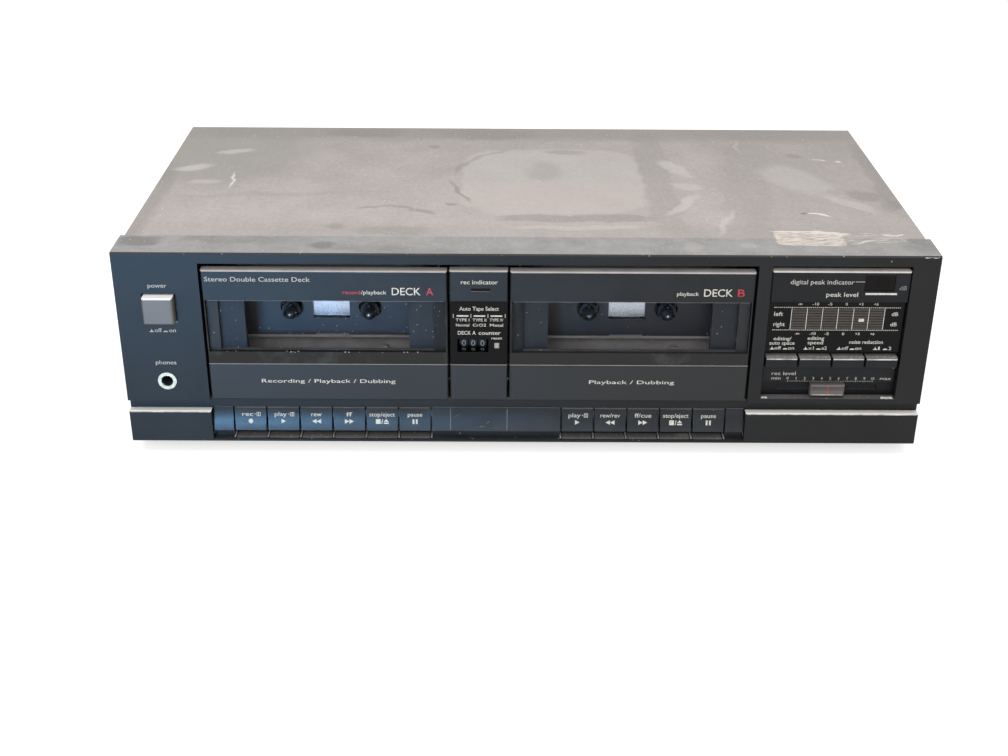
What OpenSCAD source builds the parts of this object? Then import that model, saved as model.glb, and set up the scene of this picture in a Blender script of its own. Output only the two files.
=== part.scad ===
// Double cassette deck: two cassette doors hinged at their lower edges, a counter between them,
// a level display with a sliding record level at the right and a row of transport keys below.
// Sizes are in millimetres. Places are given from the front panel: x from its middle,
// y back from its face and z up from its bottom edge.

/* [Cabinet] */
// Width of the front panel
panel_w = 430; // [425:1:450]
// Height of the front panel
panel_h = 111.6; // [111:0.2:125]
// Depth of the front panel moulding
panel_d = 24.4; // [23:0.2:27]
// Wall of the front panel moulding
panel_wall = 2.8; // [2.2:0.1:3.2]
// Bevel along the front panel's long edges
panel_bevel = 0.8; // [0.3:0.1:1.5]
// Depth of the cabinet from the panel's face to the back of the cover
cabinet_d = 218; // [212:1:280]
// Step in from the panel's ends to the steel cover
cover_step = 1.5; // [1:0.1:4]
// Drop from the panel's top to the cover's top
cover_drop = 0.5; // [0:0.1:2]
// Lip folded down along the cover's back edge
cover_lip = 7; // [4:0.5:10]
// Thickness of the steel sheet
sheet_t = 1; // [0.8:0.1:1.4]
// Height of the chassis floor above the panel's bottom edge
chassis_z = 2; // [1:0.5:3]
// Height of the chassis side flanges
flange_h = 14; // [10:1:20]
// Height of the panel's bottom edge above the ground
foot_h = 8; // [5:0.5:15]
// Radius of a foot at the top
foot_r = 12; // [9:0.5:15]
// Inset of the feet from the cabinet's sides
foot_inset = 40; // [25:1:60]

/* [Door bay] */
// Distance from the panel's left end to the door bay
bay_margin = 44.5; // [40:0.5:52]
// Width of a cassette door
door_w = 128; // [124:0.5:131]
// Height of the front panel above the doors
top_band = 9.8; // [8.5:0.1:11]
// Thickness of a cassette door
door_t = 5.9; // [5:0.1:7]
// Bevel around a door's face
door_bevel = 0.6; // [0.2:0.1:1]
// Gap between the doors and what is beside them
front_gap = 1.2; // [0.6:0.1:2]
// Opening above the doors
top_gap = 3.8; // [2.5:0.1:5]
// Gap below the doors, above the groove
bottom_gap = 1; // [0.6:0.1:2]
// Width of the centre panel
centre_w = 30.6; // [28:0.2:36]
// Height of a door's upper plate
upper_plate_h = 16.7; // [12:0.1:20]
// Height of a door's lower plate
lower_plate_h = 21.3; // [18:0.1:23]
// Height of the opaque strip along the foot of a window
strip_h = 7.2; // [4:0.1:10]
// How far a window lies behind the door's face
window_set = 0.7; // [0.3:0.1:1.2]
// Thickness of a window
window_t = 2.4; // [1.6:0.1:3]
// Width of the door frame beside a window's clear part
stile_w = 7; // [5:0.5:9]

/* [Lower front] */
// Height of the lower blocks
base_h = 19; // [17:0.5:21]
// Height of the groove above the lower blocks
groove_h = 6.3; // [5:0.1:8]
// Depth of the groove
groove_d = 4.4; // [3.6:0.1:5]
// How far the rail below the doors stops short of the groove's top
rail_drop = 0.7; // [0.4:0.1:1.5]
// Thickness of the tray floor below the keys
tray_t = 1.6; // [1.2:0.1:2]
// Depth of the tray below the keys
tray_d = 9; // [8.5:0.5:12]

/* [Keys] */
// Distance from key to key
key_pitch = 18; // [17:0.1:18.3]
// Gap between two keys
key_gap = 0.8; // [0.5:0.1:1.5]
// Distance from a door's left edge to the first key place
key_inset = 10.9; // [9:0.1:12]
// Height of a key's lower edge
key_bottom = 6.7; // [6.2:0.1:8]
// How far a key's lower edge lies behind the panel's face
key_set = 1; // [0.5:0.1:1.6]
// How far a key's face leans back from its lower to its upper edge
key_flare = 2.8; // [1:0.1:3]
// Thickness of a key cap, front to back
key_t = 5; // [3:0.2:6]
// Distance of the key shaft behind the panel's face
key_pivot_y = 50; // [48:0.5:53]
// Height of the key shaft
key_pivot_z = 14; // [13:0.5:14.5]
// Radius of the key shaft
key_shaft_r = 2; // [1.5:0.1:2.5]
// Width of a key's lever
lever_w = 5; // [3:0.5:8]
// Height of a key's lever
lever_h = 5; // [3:0.5:6]
// Length of a lever behind the key shaft
lever_tail = 14; // [8:1:16]

/* [Cassette and transport] */
// Width of a cassette
cassette_w = 100.4; // [99:0.1:102]
// Thickness of a cassette
cassette_t = 12; // [11:0.1:12.5]
// Room around a cassette in its holder
cassette_play = 0.9; // [0.5:0.1:1.5]
// Distance between the two hub spindles
hub_spacing = 42.5; // [42:0.1:43]
// Height of the hub spindles
hub_z = 70; // [69:0.5:71]
// Height of the hubs above a cassette's lower edge
hub_rise = 35; // [34:0.5:36]
// Wall of the cassette holder
holder_wall = 2; // [1.6:0.1:2.4]
// How far a holder's lips reach over the cassette's ends
holder_lip = 7.5; // [5:0.5:9]
// Thickness of the well cover
well_t = 2; // [1.5:0.1:2.5]
// Radius of a hub spindle's collar
collar_r = 5; // [4:0.1:5.4]
// Radius of a reel table
reel_r = 15; // [12:0.5:17]
// Thickness of a reel table
reel_t = 5; // [3:0.5:6]
// Reach of a spindle in front of the transport plate
spindle_reach = 18.5; // [16:0.5:20]
// Thickness of a transport plate
plate_t = 1.5; // [1:0.1:2]
// Radius of a capstan
capstan_r = 1.25; // [1:0.05:1.5]
// Distance of a capstan to the right of its deck's middle
capstan_x = 27.5; // [26:0.5:29]
// Height of a capstan above a cassette's lower edge
capstan_rise = 6.5; // [5.5:0.1:7]
// Radius of a flywheel
flywheel_r = 22; // [18:0.5:22.5]
// Thickness of a flywheel
flywheel_t = 6; // [4:0.5:7]
// Radius of a pinch roller
pinch_r = 6.5; // [5.5:0.1:6.8]
// Travel of a head plate
head_travel = 5; // [4:0.1:5.5]
// Radius of a motor
motor_r = 16; // [13:0.5:17]
// Length of a motor
motor_l = 24; // [18:1:28]
// Radius of a motor's pulley
pulley_r = 5; // [4:0.5:6]
// Thickness of a drive belt
belt_t = 1; // [0.8:0.1:1.4]

/* [Control panel] */
// Strip of the front panel between the door bay and the control panel
strip_w = 7.2; // [7:0.1:10]
// Distance from the control panel to the panel's right end
bezel_margin = 14.5; // [11:0.1:16]
// Depth of the control panel's recess
recess_d = 5.2; // [4:0.1:6]
// Thickness of the control panel's floor
bezel_t = 2; // [1.5:0.1:2.5]
// Gap between the push buttons and the display window
display_gap = 2.6; // [1:0.1:4]
// Thickness of the display window
display_t = 2.2; // [1.5:0.1:2.6]
// Width of the readout window
readout_w = 16; // [12:0.5:18]
// Height of the readout window
readout_h = 9.2; // [7:0.1:10]
// Height of the push buttons' middle
button_z = 49.8; // [49.5:0.1:51]
// Height of a push button
button_h = 6; // [4.4:0.1:6]
// Gap between two push buttons
button_gap = 0.8; // [0.5:0.1:1.5]
// Length of a push button, front to back
button_l = 9; // [8:0.1:9.4]
// Travel of a push button
button_travel = 2.5; // [1.5:0.1:2.6]
// Height of the slot for the level knob
level_z = 33; // [33:0.1:34]
// Width of the level knob
level_w = 18.5; // [15:0.5:20]
// Height of the level knob
level_h = 6.8; // [6:0.1:7.4]
// Distance from the control panel's edge to the level knob's middle at the end of its travel
level_margin = 13.2; // [12.5:0.1:16]
// Rest position of the level knob as a share of its travel
level_rest = 0.49; // [0:0.01:1]

/* [Power and phones] */
// Distance of the power button's middle from the panel's left end
power_margin = 22.7; // [21:0.1:24]
// Height of the power button's middle
power_z = 80.2; // [75:0.2:85]
// Width of the power button
power_w = 16; // [13:0.5:17]
// Height of the power button
power_h = 15; // [14:0.5:18]
// How far the power button stands out
power_out = 5; // [3:0.2:6]
// Gap around the power button
power_gap = 0.9; // [0.5:0.1:1.5]
// Travel of the power button
power_travel = 3.5; // [2:0.1:4]
// Height of the headphone socket's middle
phones_z = 37.6; // [36.8:0.2:45]
// Radius of the headphone socket's bore
phones_r = 3.2; // [3.2:0.05:3.3]
// Radius of the headphone socket's ring
phones_ring_r = 5; // [4.8:0.1:6]

/* [Counter] */
// Distance of the counter wheels' middle from the centre panel's left edge
counter_inset = 12.3; // [12:0.1:13]
// Height of the counter wheels' axle
counter_z = 59; // [57:0.5:61]
// Radius of a counter wheel
counter_r = 8; // [7:0.1:8.5]
// Width of a counter wheel
counter_w = 4.3; // [3.5:0.1:4.6]
// Distance from wheel to wheel
counter_pitch = 4.95; // [4.9:0.05:5.1]
// Width of the reset button
reset_w = 2.6; // [2.5:0.1:3.4]
// Height of the reset button
reset_h = 3; // [3:0.1:5]
// Travel of the reset button
reset_travel = 1.5; // [1:0.1:2]

/* [Back] */
// How far the line sockets stand out of the rear panel
socket_out = 9; // [7:0.5:11]
// Outer radius of a line socket
socket_r = 4.15; // [4.1:0.05:4.2]
// Distance from line socket to line socket
socket_pitch = 15; // [14:0.5:18]
// Distance of the line sockets' middle from the cabinet's middle
socket_x = 107; // [90:1:130]
// Height of the line sockets' middle
socket_z = 46; // [42:1:60]
// Distance of the mains inlet's middle from the panel's end
inlet_margin = 50; // [40:1:60]
// Height of the mains inlet's middle
inlet_z = 44; // [35:1:60]

/* [Inside] */
// Thickness of the circuit boards
board_t = 1.6; // [1.2:0.1:2]
// Height of the main board above the chassis floor
board_rise = 9; // [7:0.5:11]
// Inset of the main board from the cabinet's side
board_inset = 20; // [15:1:25]
// Distance from the main board to the rear panel
board_back = 12; // [11:0.5:16]
// Width of the transformer's core
core_w = 58; // [50:1:60]
// Depth of the transformer's core
core_d = 30; // [24:1:34]
// Height of the transformer's core
core_h = 44; // [36:1:50]
// Inset of the transformer from the cabinet's side
core_inset = 20; // [12:1:24]
// Distance from the core's front to the back of the cabinet
core_back = 95; // [80:1:100]
// Reach of the windings in front of and behind the core
winding_reach = 9; // [6:0.5:11]

/* [Hidden] */
$fn = 64;

// Clearances: sliding pieces, shafts in bores, thrust faces and cuts that run past a face
slide_gap = 0.35;
bore_gap = 0.05;
seat_gap = 0.3;
past = 1;

// Cabinet
cover_w = panel_w - 2 * cover_step;
cover_z = panel_h - cover_drop;
inner_x = cover_w / 2 - sheet_t - 0.2;
floor_z = chassis_z + sheet_t;
rear_y = cabinet_d - sheet_t;
rear_in = rear_y - sheet_t;
mid_y = (rear_y + socket_out - power_out) / 2;
groove_z = base_h + groove_h;
sill_z = groove_z + panel_wall;
rib_t = 1.5;

// Door bay
bay_x0 = bay_margin - panel_w / 2;
door_z0 = groove_z + bottom_gap;
door_z1 = panel_h - top_band;
bay_top = door_z1 + top_gap;
door_a_x = bay_x0 + front_gap + door_w / 2;
centre_x0 = door_a_x + door_w / 2 + front_gap;
centre_x1 = centre_x0 + centre_w;
door_b_x = centre_x1 + front_gap + door_w / 2;
bay_x1 = door_b_x + door_w / 2 + front_gap;
window_z0 = door_z0 + lower_plate_h;
window_z1 = door_z1 - upper_plate_h;
window_y = window_set + window_t;
window_ledge = 1.5;
window_fit = 0.1;
rail_z0 = base_h + 0.8;
rail_z1 = groove_z - rail_drop;
rail_y1 = groove_d + panel_wall;

// Door hinge
hinge_r = 4;
hinge_pin_r = 2;
hinge_y = rail_y1 + hinge_r + 0.8;
hinge_z = rail_z0 + 1.2;
ear_t = 3;
ear_x = door_w / 2 - 6.5;
cheek_t = 2.5;
cheek_gap = 0.4;

// Cassette holder
pocket_y0 = door_t + 2 * holder_wall;
pocket_y1 = pocket_y0 + cassette_t + cassette_play;
pocket_x = cassette_w / 2 + cassette_play;
shelf_z = hub_z - hub_rise - 0.2;
back_lip_t = 1.5;
back_lip = 4;
holder_y1 = pocket_y1 + back_lip_t;
holder_z1 = door_z1 - 4;
flange_z0 = door_z0 + 1.7;

// Transport, from the door to the back
well_y = holder_y1 + 0.8;
well_z0 = hub_z - 17.5;
well_w = door_w - 12;
reel_y = well_y + well_t + 1;
plate_y = reel_y + reel_t + seat_gap;
plate_back = plate_y + plate_t;
plate_w = door_w - 10;
plate_drop = 46;
plate_z0 = hub_z - plate_drop;
plate_z1 = door_z1 + 2.2;
leg_w = 5;
spindle_y = plate_y - spindle_reach;
post_r = 1.2;
flywheel_y = plate_back + seat_gap + 1.7;
flywheel_y1 = flywheel_y + flywheel_t;
capstan_z = hub_z - hub_rise + capstan_rise;
bush_r = 3.2;
motor_y = flywheel_y1 + 1.3;
motor_x = -26;
motor_z = hub_z - 18;

// Head plate and pinch roller
head_y1 = plate_y - seat_gap;
head_y0 = head_y1 - 2.2;
head_front = pocket_y0 + 3;
head_top = shelf_z - 1.4;
pinch_z = capstan_z - capstan_r - pinch_r - seat_gap - head_travel;
pinch_axle_r = 1.5;
pinch_back = 7.5;
guide_x = 21;
guide_r = 1;
head_half = 36;
head_shoulder = 16;
head_neck = 13;
head_end = 30;
head_w = 14;
erase_x = 20.5;
erase_w = 9;
guide_z = pinch_z + 0.5;

// Keys
key_w = key_pitch - key_gap;
key_top = rail_z0 - 0.5;
key_a_x0 = door_a_x - door_w / 2 + key_inset;
key_b_x0 = door_b_x - door_w / 2 + key_inset + key_pitch;
key_a_n = 6;
key_b_n = 5;
lug_t = 1.5;

// Control panel
bezel_x0 = bay_x1 + strip_w;
bezel_x1 = panel_w / 2 - bezel_margin;
bezel_w = bezel_x1 - bezel_x0;
bezel_z1 = door_z1 + 1;
bezel_top = bay_top;
bezel_back = recess_d + bezel_t;
bezel_lip = 3.2;
plate_lower = window_z1;
display_z0 = button_z + button_h / 2 + display_gap;
display_y = recess_d - display_t;
button_inset = 0.8;
button_pitch = (bezel_w - 2 * button_inset + button_gap) / 4;
button_x0 = bezel_x0 + button_inset;
level_travel = bezel_w - 2 * level_margin;
level_x = bezel_x0 + bezel_w / 2 + (level_rest - 0.5) * level_travel;
level_stem = 2;
level_slot_h = level_stem + 2 * slide_gap;
knob_groove = 0.4;
readout_x = bezel_x1 - 8 - readout_w / 2;
readout_z = (plate_lower + bezel_z1) / 2 + 2.4;
switch_front = button_l + button_travel + seat_gap;
button_stem_r = 1.5;
board_y = switch_front + button_travel + 1.7;

// Power, phones, counter and back
power_x = power_margin - panel_w / 2;
switch_y = 20;
switch_w = 14;
switch_h = 12;
switch_l = 24;
switch_tab = 6.5;
counter_x = centre_x0 + counter_inset;
counter_y = window_y + 0.6 + counter_r;
counter_axle_r = 1;
reset_x = centre_x1 - 5.7;
reset_z = counter_z;
lens_w = 10;
lens_h = 1.8;
lens_z = window_z1 + 6.4;
board_z = floor_z + board_rise;
board_y0 = 82;
inlet_w = 20;
inlet_h = 12;
inlet_x = panel_w / 2 - inlet_margin;
jack_rim = 8;
jack_block = 10;
core_x0 = core_inset - inner_x;
core_y0 = cabinet_d - core_back;
foot_tab = 8;
foot_tab_t = 1.5;
board_x0 = core_x0 + core_w + 2 * foot_tab;
board_x1 = inner_x - board_inset;
board_y1 = rear_in - board_back;
screw_r = 1.5;
screw_head_r = 3.6;
screw_head_t = cover_step - 0.1;
screw_front = 62;
screw_back = 40;
screw_rows = [screw_front, cabinet_d - screw_back];

// Places a piece drawn from the front panel in the part's own frame
module place() {
    translate([0, -mid_y, foot_h]) children();
}

// A block between two values on each axis
module block(x, y, z) {
    translate([x[0], y[0], z[0]]) cube([x[1] - x[0], y[1] - y[0], z[1] - z[0]]);
}

// Outlines drawn in (y, z), (x, z) or (x, y), pushed out along the third axis
module along_x(x) {
    translate([x[0], 0, 0]) rotate([90, 0, 90]) linear_extrude(x[1] - x[0]) children();
}

module along_y(y) {
    translate([0, y[1], 0]) rotate([90, 0, 0]) linear_extrude(y[1] - y[0]) children();
}

module along_z(z) {
    translate([0, 0, z[0]]) linear_extrude(z[1] - z[0]) children();
}

// Round bars along each axis
module bar_x(r, x, y, z) {
    translate([x[0], y, z]) rotate([0, 90, 0]) cylinder(r = r, h = x[1] - x[0]);
}

module bar_y(r, x, y, z) {
    translate([x, y[1], z]) rotate([90, 0, 0]) cylinder(r = r, h = y[1] - y[0]);
}

module bar_z(r, x, y, z) {
    translate([x, y, z[0]]) cylinder(r = r, h = z[1] - z[0]);
}

// A block whose four front edges are bevelled
module front_block(x, y, z, bevel) {
    intersection() {
        along_x(x) polygon([[y[0] + bevel, z[0]], [y[0], z[0] + bevel], [y[0], z[1] - bevel],
            [y[0] + bevel, z[1]], [y[1], z[1]], [y[1], z[0]]]);
        along_z(z) polygon([[x[0] + bevel, y[0]], [x[1] - bevel, y[0]], [x[1], y[0] + bevel],
            [x[1], y[1]], [x[0], y[1]], [x[0], y[0] + bevel]]);
    }
}

// An outline with rounded corners, in two axes
module round_rect(x, z, r) {
    translate([x[0] + r, z[0]]) square([x[1] - x[0] - 2 * r, z[1] - z[0]]);
    translate([x[0], z[0] + r]) square([x[1] - x[0], z[1] - z[0] - 2 * r]);
    for (cx = [x[0] + r, x[1] - r]) {
        for (cz = [z[0] + r, z[1] - r]) translate([cx, cz]) circle(r);
    }
}

// Both sides of a deck, mirrored about its middle
module both_sides(x) {
    translate([x, 0, 0]) children();
    translate([x, 0, 0]) mirror([1, 0, 0]) children();
}

// Front panel
module front_panel_shell() {
    end = panel_w / 2;
    difference() {
        along_x([-end, end]) polygon([[panel_bevel, 0], [0, panel_bevel],
            [0, base_h - panel_bevel / 2], [panel_bevel / 2, base_h], [groove_d, base_h],
            [groove_d, groove_z], [0, groove_z], [0, panel_h - panel_bevel],
            [panel_bevel, panel_h], [panel_d, panel_h], [panel_d, 0]]);
        along_x([panel_wall - end, end - panel_wall]) polygon([[panel_wall, panel_wall],
            [panel_wall, base_h - panel_wall], [rail_y1, base_h - panel_wall], [rail_y1, sill_z],
            [panel_wall, sill_z], [panel_wall, panel_h - panel_wall],
            [panel_d + past, panel_h - panel_wall], [panel_d + past, panel_wall]]);
        // The door bay and the key bay
        block([bay_x0, bay_x1], [-past, rail_y1 + past], [rail_z1, bay_top]);
        block([bay_x0, bay_x1], [-past, tray_d], [tray_t, rail_z0]);
        // The control panel, the power button and the headphone socket
        block([bezel_x0 - slide_gap, bezel_x1 + slide_gap], [-past, panel_wall + past],
            [sill_z, bezel_top]);
        along_y([-past, panel_wall + past])
            round_rect([power_x - power_w / 2 - power_gap, power_x + power_w / 2 + power_gap],
                [power_z - power_h / 2 - power_gap, power_z + power_h / 2 + power_gap], 1);
        bar_y(phones_ring_r - 0.6, power_x, [-past, panel_wall + past], phones_z);
    }
}

module front_panel_cheek() {
    cheek_x = ear_x + ear_t + cheek_gap;
    cheek_y1 = hinge_y + hinge_r;
    difference() {
        block([cheek_x, cheek_x + cheek_t], [rail_y1 - past, cheek_y1], [hinge_z - hinge_r, rail_z1]);
        bar_x(hinge_pin_r + bore_gap, [cheek_x - past, cheek_x + cheek_t + past], hinge_y, hinge_z);
    }
}

module front_panel() {
    color("#2b3037") place() {
        front_panel_shell();
        for (x = [door_a_x, door_b_x]) both_sides(x) front_panel_cheek();
        // Walls at the bay's ends
        for (x = [bay_x0 - rib_t, bay_x1]) {
            block([x, x + rib_t], [panel_wall / 2, panel_d], [sill_z - past, panel_h - panel_wall / 2]);
        }
        // Bosses for the power switch
        for (s = [-1, 1]) bar_y(2.5, power_x + s * (power_w / 2 + 3.5), [panel_wall / 2, switch_y], power_z);
        // Raised pads and ribs in the tray below the keys
        for (i = [0 : key_a_n - 1]) tray_pad(key_a_x0 + i * key_pitch);
        for (i = [0 : key_b_n - 1]) tray_pad(key_b_x0 + i * key_pitch);
    }
}

module tray_pad(x) {
    block([x + 0.6, x + key_w - 0.6], [panel_bevel, tray_d - past], [tray_t / 2, tray_t + 0.6]);
    for (rib = [x - key_gap / 2, x + key_w + key_gap / 2]) {
        block([rib - 0.4, rib + 0.4], [panel_bevel, tray_d - past], [tray_t / 2, tray_t + 0.9]);
    }
}

// Steel cover, open below, with a lip folded down at the back
module top_cover() {
    side = cover_w / 2;
    front = panel_d + 0.2;
    low = chassis_z - 0.5;
    color("#9c9893") place() difference() {
        block([-side, side], [front, cabinet_d], [low, cover_z]);
        block([sheet_t - side, side - sheet_t], [front - past, rear_y], [low - past, cover_z - sheet_t]);
        block([sheet_t - side, side - sheet_t], [front, cabinet_d + past],
            [low - past, cover_z - cover_lip]);
        for (y = screw_rows) bar_x(screw_r + 0.2, [-panel_w, panel_w], y, floor_z + flange_h / 2);
    }
}

// Chassis tray with lugs for the key shaft and slots for air
module chassis_base() {
    lug_places = [key_a_x0 - 5, key_a_x0 + key_a_n * key_pitch + 4, key_b_x0 - 6,
        key_b_x0 + key_b_n * key_pitch + 2];
    vent_w = 4;
    vent_l = 40;
    color("#b4b6b3") place() difference() {
        union() {
            block([-inner_x, inner_x], [panel_d, rear_in], [chassis_z, floor_z]);
            block([-inner_x, inner_x], [panel_d, panel_d + sheet_t], [chassis_z, floor_z + 4.5]);
            for (x = [-inner_x, inner_x - sheet_t]) {
                block([x, x + sheet_t], [panel_d, rear_in], [chassis_z, floor_z + flange_h]);
            }
            for (x = lug_places) along_x([x, x + lug_t]) {
                translate([key_pivot_y - 5, chassis_z]) square([10, key_pivot_z - chassis_z]);
                translate([key_pivot_y, key_pivot_z]) circle(5);
            }
        }
        bar_x(key_shaft_r, [-panel_w, panel_w], key_pivot_y, key_pivot_z);
        for (y = screw_rows) bar_x(screw_r + 0.05, [-panel_w, panel_w], y, floor_z + flange_h / 2);
        for (i = [-4 : 4]) {
            along_z([0, floor_z + past]) round_rect([i * 14 - vent_w / 2, i * 14 + vent_w / 2],
                [cabinet_d / 2, cabinet_d / 2 + vent_l], vent_w / 2 - 0.01);
        }
    }
}

// Rear panel with its cut-outs
module rear_panel() {
    color("#3a3b3d") place() difference() {
        block([-inner_x, inner_x], [rear_in, rear_y], [chassis_z, cover_z - sheet_t - 0.2]);
        for (i = [-0.5, 0.5]) {
            for (j = [-0.5, 0.5]) {
                bar_y(socket_r + 0.6, socket_x + i * socket_pitch, [rear_in - past, rear_y + past],
                    socket_z + j * socket_pitch);
            }
        }
        along_y([rear_in - past, rear_y + past]) inlet_outline(inlet_w + 0.4, inlet_h + 0.4, 2);
        rear_screw_places() bar_y(screw_r + 0.05, 0, [rear_in - past, rear_y + past], 0);
    }
}

module rear_screw_places() {
    for (s = [-1, 1]) {
        translate([s * (inner_x - 12), 0, floor_z + 10]) children();
        translate([s * (inner_x - 12), 0, cover_z - cover_lip - 8]) children();
    }
}

module screws() {
    color("#1d1d1f") place() {
        for (s = [0, 1]) {
            for (y = screw_rows) mirror([s, 0, 0]) {
                bar_x(screw_head_r, [cover_w / 2, cover_w / 2 + screw_head_t], y, floor_z + flange_h / 2);
                bar_x(screw_r, [inner_x - sheet_t, cover_w / 2 + screw_head_t / 2], y,
                    floor_z + flange_h / 2);
            }
        }
        rear_screw_places() {
            bar_y(screw_head_r, 0, [rear_y, rear_y + screw_head_t], 0);
            bar_y(screw_r, 0, [rear_in - 2, rear_y + screw_head_t / 2], 0);
        }
    }
}

module feet() {
    color("#19191b") place() for (s = [-1, 1]) {
        for (y = [panel_d + foot_inset * 0.6, cabinet_d - foot_inset * 0.7]) {
            translate([s * (cover_w / 2 - foot_inset), y, -foot_h]) difference() {
                rotate_extrude() polygon([[0, 0], [foot_r - 2.2, 0], [foot_r - 1.2, 1],
                    [foot_r, foot_h + chassis_z], [0, foot_h + chassis_z]]);
                translate([0, 0, -past]) cylinder(r = foot_r / 3, h = past + foot_h / 2);
            }
        }
    }
}

// Doors, their windows and the cassette holders behind them
module door_frame(x) {
    left = x - door_w / 2;
    right = x + door_w / 2;
    color("#3a3d41") place() difference() {
        front_block([left, right], [0, door_t], [door_z0, door_z1], door_bevel);
        block([left - past, right + past], [-past, window_y], [window_z0, window_z1]);
        block([left + stile_w, right - stile_w], [0, door_t + past],
            [window_z0 + strip_h, window_z1 - window_ledge]);
        along_x([left - past, right + past]) polygon([[door_t - 1.2, door_z0],
            [door_t + past, door_z0 - past], [door_t + past, door_z0 + 2.2]]);
    }
}

module door_window(x) {
    color("#8a96a0", 0.4) place()
        front_block([x - door_w / 2 + window_fit, x + door_w / 2 - window_fit],
            [window_set, window_y], [window_z0 + window_fit, window_z1 - window_fit], 0.2);
}

module holder_side() {
    // Side wall, front lip, back lip and the shelf the cassette stands on
    block([pocket_x, pocket_x + holder_wall], [door_t, holder_y1], [shelf_z - holder_wall, holder_z1]);
    block([pocket_x - holder_lip, pocket_x + holder_wall], [door_t, pocket_y0],
        [shelf_z - holder_wall, holder_z1]);
    block([pocket_x - back_lip, pocket_x + holder_wall], [pocket_y1, holder_y1],
        [shelf_z - holder_wall, holder_z1 - 14]);
    block([pocket_x - holder_lip, pocket_x + holder_wall], [pocket_y0 - holder_wall, holder_y1],
        [shelf_z - holder_wall, shelf_z]);
    // Flange on the door's back, and the hinge ear with its pin
    block([pocket_x - past, ear_x], [door_t, door_t + holder_wall], [flange_z0, holder_z1]);
    block([ear_x - past, ear_x + ear_t], [door_t, hinge_y + hinge_r], [flange_z0, shelf_z]);
    along_x([ear_x, ear_x + ear_t]) {
        translate([hinge_y - hinge_r + 1.6, hinge_z])
            square([2 * hinge_r - 1.6, flange_z0 - hinge_z + past]);
        translate([hinge_y, hinge_z]) circle(hinge_r);
    }
    bar_x(hinge_pin_r, [ear_x + ear_t / 2, ear_x + ear_t + cheek_gap + cheek_t], hinge_y, hinge_z);
}

module holder(x) {
    color("#26282b") place() {
        both_sides(x) holder_side();
        block([x - pocket_x - past, x + pocket_x + past], [door_t, door_t + holder_wall],
            [flange_z0, window_z0 - 1.6]);
    }
}

module door_a() { door_frame(door_a_x); }
module door_b() { door_frame(door_b_x); }
module door_a_window() { door_window(door_a_x); }
module door_b_window() { door_window(door_b_x); }
module holder_a() { holder(door_a_x); }
module holder_b() { holder(door_b_x); }

// Centre panel with the counter's opening, the record lens and the reset button's hole
module centre_panel() {
    tab = 6;
    tab_t = 2;
    tab_y = door_t + 2;
    tab_top = min(bay_top + 2.5, panel_h - panel_wall);
    color("#3a3d41") place() {
        difference() {
            front_block([centre_x0, centre_x1], [0, door_t], [door_z0, door_z1 + 0.4], door_bevel);
            block([centre_x0 - past, centre_x1 + past], [-past, window_y], [window_z0, window_z1]);
            block([counter_x - 1.5 * counter_pitch - past, counter_x + 1.5 * counter_pitch + past],
                [0, door_t + past], [counter_z - 6.5, counter_z + 6.5]);
            block([counter_x + 4 - lens_w / 2, counter_x + 4 + lens_w / 2], [-past, door_t + past],
                [lens_z - lens_h / 2, lens_z + lens_h / 2]);
            reset_hole(0);
        }
        // Tab set back from the gap above, whose lip lies against the back of the front panel
        block([centre_x0 + tab, centre_x1 - tab], [door_t - past, tab_y + tab_t],
            [door_z1 - 6, door_z1 - 6 + tab_t]);
        block([centre_x0 + tab, centre_x1 - tab], [tab_y, tab_y + tab_t], [door_z1 - 6, tab_top]);
        block([centre_x0 + tab, centre_x1 - tab], [panel_wall, tab_y + tab_t],
            [tab_top - 1.5, tab_top]);
        block([centre_x0 + tab, centre_x1 - tab], [door_t - past, rail_y1 + 2], [door_z0, door_z0 + 3]);
        block([centre_x0 + tab, centre_x1 - tab], [rail_y1, rail_y1 + 2], [rail_z0 + 0.5, door_z0 + 3]);
    }
}

module reset_hole(y) {
    block([reset_x - reset_w / 2 - slide_gap, reset_x + reset_w / 2 + slide_gap],
        [y - past, door_t + past],
        [reset_z - reset_h / 2 - slide_gap, reset_z + reset_h / 2 + slide_gap]);
}

// Control panel: an upper plate, a display and a recess with buttons and a slot
module control_bezel() {
    color("#303236") place() difference() {
        union() {
            block([bezel_x0 - bezel_lip, bezel_x1 + bezel_lip], [recess_d, bezel_back],
                [sill_z, bezel_top + 2]);
            front_block([bezel_x0, bezel_x1], [0, recess_d + past], [plate_lower, bezel_z1], door_bevel);
            // Rim that lies against the back of the front panel
            for (x = [bezel_x0 - bezel_lip, bezel_x1 + slide_gap]) {
                block([x, x + bezel_lip - slide_gap], [panel_wall, bezel_back], [sill_z, bezel_top + 2]);
            }
            // Posts for the front board
            for (x = [bezel_x0 + 3.5, bezel_x1 - 3.5]) {
                for (z = [button_z - 8, bezel_z1 - 5]) bar_y(2.2, x, [recess_d + past, board_y], z);
            }
        }
        block([bezel_x0 + 4, bezel_x1 - 4], [0, bezel_back + past],
            [display_z0 + 3, plate_lower - 2]);
        block([button_x0 - slide_gap, button_x0 + 4 * button_pitch - button_gap + slide_gap],
            [0, bezel_back + past],
            [button_z - button_h / 2 - slide_gap, button_z + button_h / 2 + slide_gap]);
        level_slot([0, bezel_back + past]);
        block([readout_x - readout_w / 2, readout_x + readout_w / 2], [-past, bezel_back + past],
            [readout_z - readout_h / 2, readout_z + readout_h / 2]);
    }
}

module level_slot(y) {
    block([level_x - level_rest * level_travel - 4, level_x + (1 - level_rest) * level_travel + 4], y,
        [level_z - level_slot_h / 2, level_z + level_slot_h / 2]);
}

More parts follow.
